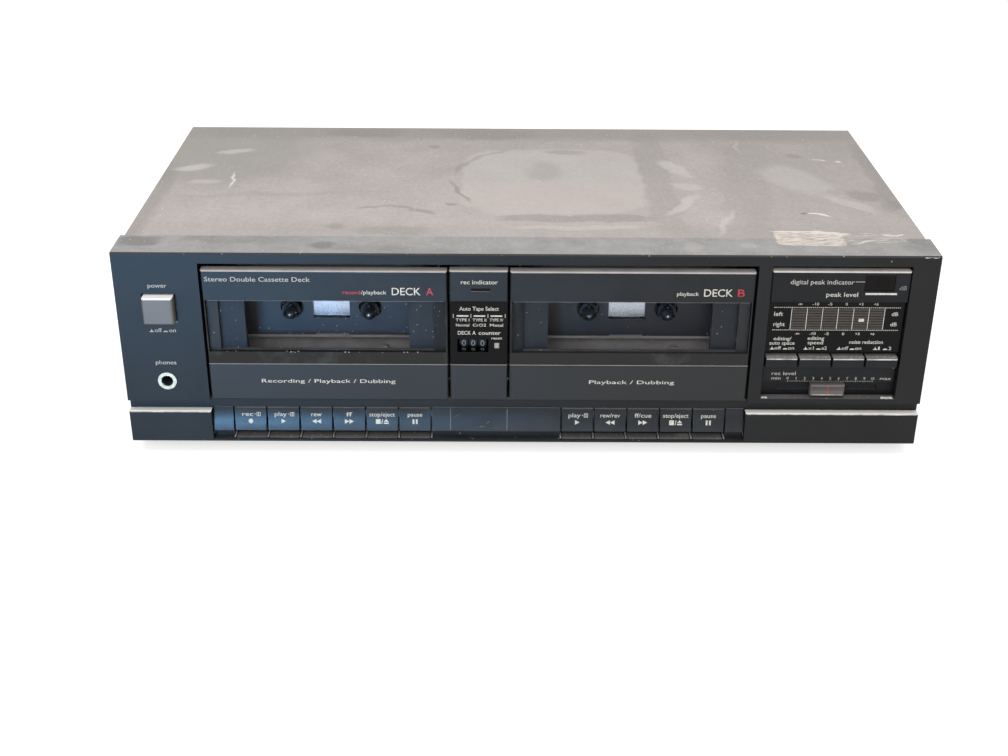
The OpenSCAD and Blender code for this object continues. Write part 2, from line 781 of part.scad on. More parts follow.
// Smoked windows over the counter, the record lamp, the display and the readout
module smoked_windows() {
    color("#15161a") place() {
        difference() {
            front_block([centre_x0 + window_fit, centre_x1 - window_fit], [window_set, window_y],
                [window_z0 + window_fit, window_z1 - window_fit], 0.2);
            reset_hole(0);
        }
        block([counter_x + 4 - lens_w / 2, counter_x + 4 + lens_w / 2], [0.3, door_t - past],
            [lens_z - lens_h / 2, lens_z + lens_h / 2]);
        block([bezel_x0 + window_fit, bezel_x1 - window_fit], [display_y, recess_d],
            [display_z0, plate_lower - window_fit]);
        block([readout_x - readout_w / 2, readout_x + readout_w / 2], [0.6, recess_d],
            [readout_z - readout_h / 2, readout_z + readout_h / 2]);
    }
}

// Push buttons, level knob, power button and reset button
module push_button(i) {
    x = button_x0 + i * button_pitch;
    middle = x + (button_pitch - button_gap) / 2;
    color("#3c3e41") place() {
        front_block([x, x + button_pitch - button_gap], [0, button_l],
            [button_z - button_h / 2, button_z + button_h / 2], 0.5);
        bar_y(button_stem_r, middle, [button_l - past, switch_front + 1], button_z);
    }
}

module button_editing() { push_button(0); }
module button_speed() { push_button(1); }
module button_noise() { push_button(2); }
module button_type() { push_button(3); }

module level_knob() {
    color("#4a4c4e") place() {
        difference() {
            front_block([level_x - level_w / 2, level_x + level_w / 2], [0, recess_d - seat_gap],
                [level_z - level_h / 2, level_z + level_h / 2], 0.8);
            for (i = [0 : 2]) {
                z = level_z + (1 + 2 * i) * knob_groove;
                block([level_x - level_w, level_x + level_w], [-past, knob_groove], [z, z + knob_groove]);
            }
        }
        block([level_x - level_stem, level_x + level_stem], [recess_d - past, board_y - 2],
            [level_z - level_stem / 2, level_z + level_stem / 2]);
    }
}

module power_button() {
    color("#4d5866") place() {
        front_block([power_x - power_w / 2, power_x + power_w / 2], [-power_out, panel_wall + 2],
            [power_z - power_h / 2, power_z + power_h / 2], 0.7);
        bar_y(2.2, power_x, [panel_wall, switch_y + 5], power_z);
    }
}

module reset_button() {
    color("#d9d9d4") place() {
        front_block([reset_x - reset_w / 2, reset_x + reset_w / 2], [0.1, door_t],
            [reset_z - reset_h / 2, reset_z + reset_h / 2], 0.4);
        bar_y(1, reset_x, [door_t - past, counter_y - reset_travel], reset_z);
    }
}

module power_switch() {
    color("#55585c") place() difference() {
        union() {
            block([power_x - power_w / 2 - switch_tab, power_x + power_w / 2 + switch_tab],
                [switch_y, switch_y + 1.5], [power_z - switch_w / 2, power_z + switch_w / 2]);
            block([power_x - switch_w / 2, power_x + switch_w / 2], [switch_y, switch_y + switch_l],
                [power_z - switch_h / 2, power_z + switch_h / 2]);
        }
        bar_y(2.2 + bore_gap, power_x, [switch_y - past, switch_y + 6 + power_travel], power_z);
    }
}

module headphone_jack() {
    color("#c9c6bd") place() difference() {
        union() {
            bar_y(phones_ring_r, power_x, [-0.6, 0], phones_z);
            bar_y(phones_ring_r - 0.8, power_x, [-0.3, panel_wall + past], phones_z);
            block([power_x - 7.5, power_x + 7.5], [panel_wall, panel_wall + 19],
                [phones_z - 7, phones_z + 7]);
        }
        bar_y(phones_r, power_x, [-past, panel_wall + 15], phones_z);
    }
}

// Transport keys: a scooped cap on a lever that turns on the key shaft
function key_face(t) = [key_set + key_flare * (1 - pow(1 - t, 2)),
    key_bottom + t * (key_top - key_bottom)];

module key_cap(x) {
    steps = 8;
    back = key_set + key_flare + key_t;
    intersection() {
        along_x([x, x + key_w]) polygon(concat([for (i = [0 : steps]) key_face(i / steps)],
            [[back, key_top], [back, key_bottom + 2], [key_set + 2, key_bottom]]));
        along_z([0, panel_h]) polygon([[x + 0.4, 0], [x + key_w - 0.4, 0],
            [x + key_w, key_set + key_flare], [x + key_w, panel_d], [x, panel_d],
            [x, key_set + key_flare]]);
    }
}

module key(x) {
    middle = x + key_w / 2;
    hub_r = key_shaft_r + 2;
    color("#2a333d") place() {
        key_cap(x);
        difference() {
            union() {
                block([middle - lever_w / 2, middle + lever_w / 2],
                    [key_set + key_flare + key_t / 2, key_pivot_y + lever_tail],
                    [key_pivot_z - lever_h / 2, key_pivot_z + lever_h / 2]);
                bar_x(hub_r, [middle - lever_w / 2 - 1.5, middle + lever_w / 2 + 1.5],
                    key_pivot_y, key_pivot_z);
            }
            bar_x(key_shaft_r + bore_gap, [middle - lever_w - past, middle + lever_w + past],
                key_pivot_y, key_pivot_z);
        }
    }
}

module key_a_rec() { key(key_a_x0); }
module key_a_play() { key(key_a_x0 + key_pitch); }
module key_a_rewind() { key(key_a_x0 + 2 * key_pitch); }
module key_a_forward() { key(key_a_x0 + 3 * key_pitch); }
module key_a_stop() { key(key_a_x0 + 4 * key_pitch); }
module key_a_pause() { key(key_a_x0 + 5 * key_pitch); }
module key_b_play() { key(key_b_x0); }
module key_b_rewind() { key(key_b_x0 + key_pitch); }
module key_b_forward() { key(key_b_x0 + 2 * key_pitch); }
module key_b_stop() { key(key_b_x0 + 3 * key_pitch); }
module key_b_pause() { key(key_b_x0 + 4 * key_pitch); }

module key_shaft() {
    color("#c4c7c9") place() bar_x(key_shaft_r, [key_a_x0 - 8, key_b_x0 + key_b_n * key_pitch + 6],
        key_pivot_y, key_pivot_z);
}

// Blank pieces that close the key row beside and between the two sets of keys
module key_blank(x) {
    along_x(x) polygon(concat([for (i = [0 : 8]) key_face(i / 8)],
        [[key_set + key_flare, rail_z0], [rail_y1 - 1, rail_z0], [rail_y1 - 1, tray_t],
        [rail_y1 - 3, tray_t], [rail_y1 - 3, key_bottom]]));
}

module key_blanks() {
    a_end = key_a_x0 + key_a_n * key_pitch;
    b_end = key_b_x0 + key_b_n * key_pitch;
    color("#2a333d") place() difference() {
        union() {
            key_blank([bay_x0 + key_gap, key_a_x0 - key_gap]);
            key_blank([a_end, key_b_x0 - key_gap]);
            key_blank([b_end, bay_x1 - key_gap]);
        }
        for (x = [centre_x0, centre_x1 + front_gap]) {
            block([x - 0.5, x], [-past, key_set + 0.6], [key_bottom - past, rail_z0 + past]);
        }
    }
}

// Transport plates with spindle posts, capstan bushes and guide pins
module transport_plate(x) {
    difference() {
        union() {
            block([x - plate_w / 2, x + plate_w / 2], [plate_y, plate_back], [plate_z0, plate_z1]);
            both_sides(x) block([plate_w / 2 - leg_w, plate_w / 2], [plate_y, plate_back],
                [floor_z, plate_z0 + past]);
            for (s = [-1, 1]) {
                bar_y(post_r, x + s * hub_spacing / 2, [spindle_y + 3, plate_y + past / 2], hub_z);
                bar_y(guide_r, x + s * guide_x, [head_y0 - 0.8, plate_y + past / 2], guide_z);
            }
            bar_y(bush_r, x + capstan_x, [plate_y - 3.5, plate_back], capstan_z);
        }
        bar_y(capstan_r + bore_gap, x + capstan_x, [0, plate_back + past], capstan_z);
    }
}

module transport_plates() {
    color("#a79f94") place() for (x = [door_a_x, door_b_x]) transport_plate(x);
}

module well_cover(x) {
    difference() {
        union() {
            block([x - well_w / 2, x + well_w / 2], [well_y, well_y + well_t], [well_z0, plate_z1]);
            for (s = [-1, 1]) {
                for (z = [well_z0 + 5, plate_z1 - 5]) {
                    bar_y(2.5, x + s * (well_w / 2 - 6), [well_y + well_t / 2, plate_y], z);
                }
            }
        }
        for (s = [-1, 1]) bar_y(collar_r + 1.2, x + s * hub_spacing / 2, [0, plate_y], hub_z);
        block([x - 10, x + 10], [0, well_y + well_t + past], [hub_z - 6.5, hub_z + 7.5]);
    }
}

module well_covers() {
    color("#1b1c1e") place() for (x = [door_a_x, door_b_x]) well_cover(x);
}

// Reel tables with splined spindles
module reel(x) {
    tip_r = 3.4;
    tip_l = 1.6;
    color("#d8d9d6") place() difference() {
        union() {
            bar_y(reel_r, x, [reel_y, plate_y - seat_gap], hub_z);
            bar_y(collar_r, x, [spindle_y + 6, reel_y + past], hub_z);
            bar_y(tip_r, x, [spindle_y + tip_l, spindle_y + 7], hub_z);
            translate([x, spindle_y + tip_l, hub_z]) rotate([90, 0, 0])
                cylinder(r1 = tip_r, r2 = tip_r / 2, h = tip_l);
            for (i = [0 : 2]) translate([x, 0, hub_z]) rotate([0, 120 * i, 0])
                block([-0.6, 0.6], [spindle_y + tip_l + 1, spindle_y + 7], [0, 4.6]);
        }
        bar_y(post_r + bore_gap, x, [spindle_y + 3 - seat_gap, plate_y + past], hub_z);
    }
}

module reel_a_supply() { reel(door_a_x - hub_spacing / 2); }
module reel_a_takeup() { reel(door_a_x + hub_spacing / 2); }
module reel_b_supply() { reel(door_b_x - hub_spacing / 2); }
module reel_b_takeup() { reel(door_b_x + hub_spacing / 2); }

// Flywheels with their capstans
module flywheel(x) {
    color("#b9a06a") place() {
        difference() {
            bar_y(flywheel_r, x + capstan_x, [flywheel_y, flywheel_y1], capstan_z);
            difference() {
                bar_y(flywheel_r - 4, x + capstan_x, [flywheel_y1 - 1.5, flywheel_y1 + past], capstan_z);
                bar_y(6, x + capstan_x, [0, flywheel_y1 + past], capstan_z);
            }
        }
        bar_y(5, x + capstan_x, [plate_back + seat_gap, flywheel_y + past], capstan_z);
        bar_y(capstan_r, x + capstan_x, [head_front, flywheel_y1], capstan_z);
    }
}

module flywheel_a() { flywheel(door_a_x); }
module flywheel_b() { flywheel(door_b_x); }

// Motors on three posts behind each transport plate
module motor(x) {
    posts = [[motor_x - motor_r, motor_z - 12], [motor_x - motor_r, motor_z + 12],
        [motor_x + motor_r, motor_z - 2]];
    pulley_y = flywheel_y + 1;
    bar_y(motor_r, x + motor_x, [motor_y + 1.5, motor_y + motor_l], motor_z);
    block([x + motor_x - motor_r - 3, x + motor_x + motor_r + 3], [motor_y, motor_y + 1.5],
        [motor_z - motor_r, motor_z + motor_r]);
    for (p = posts) bar_y(2.2, x + p[0], [plate_back, motor_y + past], p[1]);
    bar_y(1, x + motor_x, [pulley_y, motor_y + past], motor_z);
    bar_y(pulley_r, x + motor_x, [pulley_y, flywheel_y1 - 1], motor_z);
}

module motors() {
    color("#8e9092") place() for (x = [door_a_x, door_b_x]) motor(x);
}

// A belt outline around two round ends
module belt_outline(r1, r2, far) {
    hull() {
        circle(r1, $fn = 48);
        translate([far, 0]) circle(r2, $fn = 32);
    }
}

module belts() {
    dx = motor_x - capstan_x;
    dz = motor_z - capstan_z;
    far = sqrt(dx * dx + dz * dz);
    wheel_in = flywheel_r + 2 * seat_gap;
    pulley_in = pulley_r + bore_gap;
    color("#161616") place() for (x = [door_a_x, door_b_x]) {
        translate([x + capstan_x, 0, capstan_z]) rotate([0, -atan2(dz, dx), 0])
            along_y([flywheel_y + 1.6, flywheel_y1 - 1.6]) difference() {
                belt_outline(wheel_in + belt_t, pulley_in + belt_t, far);
                belt_outline(wheel_in, pulley_in, far);
            }
    }
}

// Head plates that slide up to the cassette, with the heads and the pinch roller's axle
module head(x, w, top) {
    intersection() {
        block([x - w / 2, x + w / 2], [head_front, head_y0], [top - 9, top]);
        bar_y(w * 0.75, x, [head_front, head_y0], top - w * 0.75);
    }
}

module head_plate(x, erases) {
    slot_r = guide_r + 0.15;
    low = pinch_z - 4;
    high = pinch_z + 3.5;
    color("#bdb7aa") place() translate([x, 0, 0]) difference() {
        union() {
            along_y([head_y0, head_y1]) polygon([[-head_half, low], [head_half, low], [head_half, high],
                [head_shoulder, high], [head_neck, head_top - 2], [-head_end, head_top - 2],
                [-head_half, high]]);
            head(0, head_w, head_top);
            if (erases) head(-erase_x, erase_w, head_top - 0.6);
            bar_y(pinch_axle_r, capstan_x, [head_front, head_y0 + past], pinch_z);
        }
        for (s = [-1, 1]) {
            bar_y(slot_r, s * guide_x, [0, plate_y], guide_z);
            bar_y(slot_r, s * guide_x, [0, plate_y], guide_z - head_travel);
            block([s * guide_x - slot_r, s * guide_x + slot_r], [head_y0 - past, plate_y],
                [guide_z - head_travel, guide_z]);
        }
    }
}

module head_plate_a() { head_plate(door_a_x, true); }
module head_plate_b() { head_plate(door_b_x, false); }

module pinch_roller(x) {
    color("#232323") place() difference() {
        bar_y(pinch_r, x + capstan_x, [head_front + 1.5, head_y0 - pinch_back], pinch_z);
        bar_y(pinch_axle_r + bore_gap, x + capstan_x, [0, plate_y], pinch_z);
    }
}

module pinch_roller_a() { pinch_roller(door_a_x); }
module pinch_roller_b() { pinch_roller(door_b_x); }

// Counter: three number wheels on one axle in a frame behind the centre panel
module counter_frame() {
    half = 1.5 * counter_pitch + 1;
    cheek = 1.5;
    back = counter_y + counter_r + 0.6;
    color("#44474a") place() {
        for (x = [counter_x - half - cheek, counter_x + half]) {
            block([x, x + cheek], [door_t, back + cheek], [counter_z - 10, counter_z + 10]);
        }
        block([counter_x - half - cheek, counter_x + half + cheek], [back, back + cheek],
            [counter_z - 10, counter_z + 10]);
        bar_x(counter_axle_r, [counter_x - half - cheek, counter_x + half + cheek], counter_y, counter_z);
    }
}

module counter_wheel(i) {
    x = counter_x + i * counter_pitch;
    color("#101114") place() difference() {
        bar_x(counter_r, [x - counter_w / 2, x + counter_w / 2], counter_y, counter_z);
        bar_x(counter_axle_r + bore_gap, [x - counter_w, x + counter_w], counter_y, counter_z);
    }
}

module counter_units() { counter_wheel(1); }
module counter_tens() { counter_wheel(0); }
module counter_hundreds() { counter_wheel(-1); }

// Main board on pillars, with its capacitors, chips and a finned heat sink
module main_board() {
    top = board_z + board_t;
    pillar = 8;
    can_r = 4;
    can_h = 11;
    can_pitch = 22;
    large_can_r = 8;
    large_can_h = 25;
    large_can_pitch = 24;
    sink_inset = 110;
    sink_x = board_x0 + sink_inset;
    sink_h = 26;
    sink_d = 18;
    fin_t = 2;
    fin_pitch = 5;
    fins = 7;
    chip_w = 20;
    chip_d = 7;
    chip_h = 3.5;
    chip_pitch = 44;
    shield_w = 95;
    shield_d = 10;
    shield_h = 12;
    color("#7d6a3c") place() {
        block([board_x0, board_x1], [board_y0, board_y1], [board_z, top]);
        for (x = [board_x0 + pillar, (board_x0 + board_x1) / 2, board_x1 - pillar]) {
            for (y = [board_y0 + pillar, board_y1 - pillar]) bar_z(3, x, y, [floor_z, board_z]);
        }
        for (i = [1 : 6]) {
            bar_z(can_r, board_x0 + pillar + can_pitch * i, board_y0 + can_pitch, [top, top + can_h]);
        }
        for (i = [1 : 3]) {
            bar_z(large_can_r, board_x0 + large_can_pitch * i, board_y1 - large_can_pitch,
                [top, top + large_can_h]);
        }
        for (i = [0 : 3]) {
            block([sink_x + chip_pitch * i, sink_x + chip_pitch * i + chip_w],
                [board_y0 + 2 * can_pitch, board_y0 + 2 * can_pitch + chip_d], [top, top + chip_h]);
        }
        for (i = [0 : fins - 1]) {
            block([sink_x + fin_pitch * i, sink_x + fin_pitch * i + fin_t],
                [board_y1 - 2 * sink_d, board_y1 - sink_d], [top, top + sink_h]);
        }
        block([sink_x, sink_x + fin_pitch * (fins - 1) + fin_t],
            [board_y1 - 2 * sink_d - fin_t, board_y1 - 2 * sink_d], [top, top + sink_h]);
        block([board_x1 - 2 * pillar - shield_w, board_x1 - 2 * pillar],
            [board_y0 + shield_d, board_y0 + 2 * shield_d], [top, top + shield_h]);
    }
}

// Front board with the level lamps, the readout, four switches and the level slider's body
module front_board() {
    z0 = sill_z + 0.4;
    z1 = bezel_top;
    slider = [level_x - level_rest * level_travel - 8, level_x + (1 - level_rest) * level_travel + 8];
    color("#6f7a4a") place() {
        block([bezel_x0 - 1, bezel_x1 + 1], [board_y, board_y + board_t], [z0, z1]);
        block([bezel_x0 + 6, bezel_x1 - 6], [bezel_back + 0.6, board_y], [display_z0 + 4, plate_lower - 3]);
        block([readout_x - 7, readout_x + 7], [bezel_back + 0.6, board_y], [readout_z - 4, readout_z + 4]);
        for (i = [0 : 3]) {
            x = button_x0 + i * button_pitch + (button_pitch - button_gap) / 2;
            difference() {
                block([x - 5, x + 5], [switch_front, board_y], [button_z - 3, button_z + 3]);
                bar_y(button_stem_r + bore_gap, x, [button_l, board_y - 0.2], button_z);
            }
        }
        difference() {
            block(slider, [board_y - 4, board_y], [level_z - 4, level_z + 4]);
            level_slot([0, board_y - 0.8]);
        }
    }
}

// Transformer: a core with windings in front and behind, on two foot tabs
module transformer() {
    x1 = core_x0 + core_w;
    y1 = core_y0 + core_d;
    top = floor_z + core_h;
    winding_x = [core_x0 + core_w / 5, x1 - core_w / 5];
    winding_z = [floor_z + core_h / 6, top - core_h / 6];
    color("#6d675f") place() {
        block([core_x0, x1], [core_y0, y1], [floor_z, top]);
        block(winding_x, [core_y0 - winding_reach, core_y0], winding_z);
        block(winding_x, [y1, y1 + winding_reach], winding_z);
        for (x = [core_x0 - foot_tab, x1]) {
            block([x, x + foot_tab], [core_y0 + core_d / 6, y1 - core_d / 6], [floor_z, floor_z + foot_tab_t]);
        }
    }
}

// Four line sockets on one block behind the rear panel
module line_jacks() {
    half = socket_pitch / 2 + jack_rim;
    color("#2a2a2c") place() difference() {
        union() {
            block([socket_x - half, socket_x + half], [rear_in - jack_block, rear_in],
                [socket_z - half, socket_z + half]);
            for (i = [-0.5, 0.5]) {
                for (j = [-0.5, 0.5]) {
                    x = socket_x + i * socket_pitch;
                    z = socket_z + j * socket_pitch;
                    bar_y(socket_r, x, [rear_in - past, rear_y + socket_out], z);
                    bar_y(socket_r + 2, x, [rear_y, rear_y + 1], z);
                }
            }
        }
        for (i = [-0.5, 0.5]) {
            for (j = [-0.5, 0.5]) {
                bar_y(1.65, socket_x + i * socket_pitch, [rear_y - 0.5, rear_y + socket_out + past],
                    socket_z + j * socket_pitch);
            }
        }
    }
}

// Mains inlet with two pins in a recess
module inlet_outline(w, h, r) {
    round_rect([-inlet_x - w / 2, -inlet_x + w / 2], [inlet_z - h / 2, inlet_z + h / 2], r);
}

module mains_inlet() {
    pin_r = 1.2;
    pin_pitch = 8.6;
    recess_w = 16.4;
    recess_h = 8.6;
    flange = 1.5;
    deep = 11;
    color("#161618") place() {
        difference() {
            union() {
                along_y([rear_y, rear_y + flange]) inlet_outline(inlet_w + 8, inlet_h + 6, 3);
                along_y([rear_y - deep - 3, rear_y + past]) inlet_outline(inlet_w, inlet_h, 2);
            }
            along_y([rear_y + flange - deep, rear_y + flange + past])
                inlet_outline(recess_w, recess_h, recess_h / 2 - 0.01);
        }
        for (s = [-1, 1]) bar_y(pin_r, s * pin_pitch / 2 - inlet_x, [rear_y - deep, rear_y], inlet_z);
    }
}

front_panel();
top_cover();
chassis_base();
rear_panel();
feet();
key_blanks();
centre_panel();
control_bezel();
smoked_windows();
transport_plates();
well_covers();
motors();
belts();
main_board();
front_board();
transformer();
power_switch();
headphone_jack();
line_jacks();
mains_inlet();
screws();
key_shaft();
counter_frame();
door_a();
door_a_window();
holder_a();
door_b();
door_b_window();
holder_b();
power_button();
key_a_rec();
key_a_play();
key_a_rewind();
key_a_forward();
key_a_stop();
key_a_pause();
key_b_play();
key_b_rewind();
key_b_forward();
key_b_stop();
key_b_pause();
button_editing();
button_speed();
button_noise();
button_type();
level_knob();
reset_button();
counter_units();
counter_tens();
counter_hundreds();
reel_a_supply();
reel_a_takeup();
reel_b_supply();
reel_b_takeup();
flywheel_a();
flywheel_b();
head_plate_a();
head_plate_b();
pinch_roller_a();
pinch_roller_b();
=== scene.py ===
import math

import bmesh
import bpy
from mathutils import Matrix, Vector


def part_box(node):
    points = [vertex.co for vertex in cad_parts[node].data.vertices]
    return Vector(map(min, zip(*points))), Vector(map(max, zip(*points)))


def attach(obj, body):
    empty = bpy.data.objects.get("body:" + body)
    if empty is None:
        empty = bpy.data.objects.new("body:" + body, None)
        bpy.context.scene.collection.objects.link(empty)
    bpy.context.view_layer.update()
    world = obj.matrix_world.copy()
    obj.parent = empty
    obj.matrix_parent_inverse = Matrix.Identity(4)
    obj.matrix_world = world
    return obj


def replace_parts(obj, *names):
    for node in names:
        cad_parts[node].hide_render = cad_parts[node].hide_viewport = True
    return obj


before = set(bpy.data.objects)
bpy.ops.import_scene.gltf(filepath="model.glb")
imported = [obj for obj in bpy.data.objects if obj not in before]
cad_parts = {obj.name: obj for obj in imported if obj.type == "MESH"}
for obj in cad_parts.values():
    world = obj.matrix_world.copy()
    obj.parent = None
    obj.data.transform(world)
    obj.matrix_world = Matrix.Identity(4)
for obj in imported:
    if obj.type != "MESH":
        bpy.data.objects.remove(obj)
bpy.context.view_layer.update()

# Camera: stands above the front of the deck and looks down at it, so that the front panel and the
# top of the cover both show. Its lens takes in the 430 mm wide panel across most of the picture.
link = bpy.context.scene.collection.objects.link
camera = bpy.data.objects.new("camera", bpy.data.cameras.new("camera"))
link(camera)
camera.data.sensor_fit = "HORIZONTAL"
camera.data.sensor_width = 36
camera.data.lens = 51.23
camera.data.clip_start = 0.01
pitch, roll, yaw = 0.47287, -0.00633, 0.00739
lean = Matrix.Rotation(yaw, 3, "Z") @ Matrix.Rotation(pitch, 3, "X") @ Matrix.Rotation(roll, 3, "Y")
right, down, forward = lean @ Matrix(((1, 0, 0), (0, 0, -1), (0, 1, 0)))
camera.matrix_world = (Matrix.Translation((-0.015559, -0.797781, 0.399617))
                       @ Matrix((right, -down, -forward)).transposed().to_4x4())
bpy.context.scene.camera = camera
bpy.context.scene.view_settings.view_transform = "Standard"

# Studio: a pale paper floor under a large soft light overhead and another in front. A small cool window
# at the left shows in gloss alone, so it tints no colour. The background is white, also in reflections.


def tint(code):
    """The linear colour of an sRGB hex value."""
    parts = [int(code[i:i + 2], 16) / 255 for i in (1, 3, 5)]
    return (*[c / 12.92 if c <= 0.04045 else ((c + 0.055) / 1.055) ** 2.4 for c in parts], 1)


def feed(tree, node, inputs):
    """Sets a node's inputs, by name or in the order shown, to values or to links from sockets or nodes."""
    shown = [s for s in node.inputs if s.enabled]
    for key, value in inputs.items() if isinstance(inputs, dict) else enumerate(inputs):
        into = node.inputs[key] if isinstance(key, str) else shown[key]
        for one in value if isinstance(value, list) else [value]:
            if isinstance(one, bpy.types.Node):
                one = next(s for s in one.outputs if s.enabled)
            if isinstance(one, bpy.types.NodeSocket):
                tree.links.new(one, into)
            elif one is not None:
                into.default_value = one


def add(tree, kind, inputs=(), mode=None, **settings):
    """Adds a node to a tree with its values and links, its mode (operation or data type) and other settings."""
    node = tree.nodes.new(kind if "Node" in kind else f"ShaderNode{kind}")
    if mode:
        setattr(node, "operation" if hasattr(node, "operation") else "data_type", mode)
    for key, value in settings.items():
        setattr(node, key, value)
    feed(tree, node, inputs)
    return node


def background_rays(tree):
    """1 on rays from the camera, from gloss and through glass, and 0 on rays that carry light."""
    path = add(tree, "LightPath").outputs
    first = add(tree, "Math", [path["Is Camera Ray"], path["Is Glossy Ray"]], "MAXIMUM")
    return add(tree, "Math", [first, path["Is Transmission Ray"]], "MAXIMUM")


white_light, room_light, paper_lift, horizon_lift = (1, 1, 1, 1), 0.42, 0.42, 0.2
world = bpy.data.worlds.new("studio")
bpy.context.scene.world = world
world.use_nodes = True
tree = world.node_tree
level = add(tree, "MapRange", [background_rays(tree), 0, 1, room_light, 1])
feed(tree, tree.nodes["Background"], {"Strength": level, "Color": white_light})

paper = bpy.data.materials.new("Pale paper")
paper.use_nodes = True
tree = paper.node_tree
lift = add(tree, "MapRange", [background_rays(tree), 0, 1, 0, paper_lift])
lift = add(tree, "Math", [add(tree, "LightPath").outputs["Is Camera Ray"], horizon_lift, lift],
           "MULTIPLY_ADD")
feed(tree, tree.nodes["Principled BSDF"], {
    "Base Color": tint("#efeeec"), "Roughness": 0.95, "Specular IOR Level": 0, "Emission Color": white_light,
    "Emission Strength": lift})
floor_mesh = bpy.data.meshes.new("floor")
floor_mesh.from_pydata([(-6, -6, 0), (6, -6, 0), (6, 6, 0), (-6, 6, 0)], [], [(0, 1, 2, 3)])
floor_mesh.materials.append(paper)
floor = bpy.data.objects.new("floor", floor_mesh)
link(floor)

for name, place, aim, size, power, colour, spread in (
        ("overhead", (0, -0.45, 1.5), (0, -0.1, 0), (1.8, 1.2), 9.8, "#fffdfc", 180),
        ("front_soft", (-0.35, -1.6, 1), (0, -0.1, 0.05), (1.6, 0.8), 13, "#fffcfa", 180),
        ("left_window", (-0.37, -0.85, 0.06), (-0.17, -0.11, 0.04), (0.3, 0.1), 0.58, "#7cc2fc", 38)):
    lamp = bpy.data.objects.new(name, bpy.data.lights.new(name, "AREA"))
    link(lamp)
    lamp.data.shape = "RECTANGLE"
    lamp.data.size, lamp.data.size_y = size
    lamp.data.energy = power
    lamp.data.spread = math.radians(spread)
    lamp.data.color = tint(colour)[:3]
    lamp.visible_diffuse = name != "left_window"
    lamp.location = place
    lamp.rotation_euler = (Vector(aim) - Vector(place)).to_track_quat("-Z", "Y").to_euler()

# Chassis: a tray of zinc-plated steel sheet with folded flanges, slots for air and lugs that carry
# the key shaft. The spangled zinc is pale and half dull.


def dress(finish, *nodes):
    """Gives carried-over pieces their finish."""
    for one in nodes:
        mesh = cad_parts[one].data
        mesh.materials.clear()
        mesh.materials.append(finish)


def opened(finish):
    """A material's node tree, its shader and the place on the object that its patterns follow."""
    finish.use_nodes = True
    tree = finish.node_tree
    return tree, tree.nodes["Principled BSDF"], add(tree, "TexCoord").outputs["Object"]


def sheet_metal(name, colour, pale, rough, blotch, streak=(1, 1, 1), metallic=1.0, bump=0.05):
    """Metal sheet or turned metal: blotches of two tones, drawn out along the way it was worked."""
    finish = bpy.data.materials.new(name)
    tree, shader, here = opened(finish)
    drawn = add(tree, "Mapping", {"Vector": here, "Scale": streak})
    tone = add(tree, "TexNoise", [drawn, 1000 / blotch, 4])
    wide = add(tree, "MapRange", [tone, 0.35, 0.65])
    feed(tree, shader, {
        "Metallic": metallic,
        "Base Color": add(tree, "Mix", [wide, tint(colour), tint(pale)], "RGBA"),
        "Roughness": add(tree, "MapRange", [tone, 0, 1, rough - 0.1, rough + 0.1]),
        "Normal": add(tree, "Bump", {"Height": tone, "Strength": bump, "Distance": 0.0002})})
    return finish


# Zinc plating on steel: grey with 8 mm spangles of two tones and half-dull gloss.
dress(sheet_metal("Zinc-plated steel sheet", "#a4a7a5", "#c3c5c2", 0.42, 8), "chassis_base")

# Rear panel: steel sheet in black paint, held by four screws, with cut-outs for the line sockets
# and the mains inlet. The paint is a fine dull crackle.
# Panel millimetres count from the front panel's face and bottom edge, which lie here in the frame.
face_y, foot_z = -110.5, 8


def band(tree, spot, axis, low, high):
    """1 between two places on an axis, in panel millimetres, and 0 elsewhere."""
    middle = (low + high) / 2000 + {"X": 0, "Y": face_y, "Z": foot_z}[axis] / 1000
    return add(tree, "Math", [spot[axis], middle, (high - low) / 2000], "COMPARE")


def upward(tree):
    """How far a face looks up: 1 on a level top."""
    return add(tree, "SeparateXYZ", [add(tree, "TexCoord").outputs["Normal"]]).outputs["Z"]


def coat(finish, share, colour):
    """Lays a colour over a share of a material's own."""
    tree = finish.node_tree
    shader = tree.nodes["Principled BSDF"]
    own = shader.inputs["Base Color"].links[0].from_socket
    feed(tree, shader, {"Base Color": add(tree, "Mix", [share, own, colour], "RGBA")})


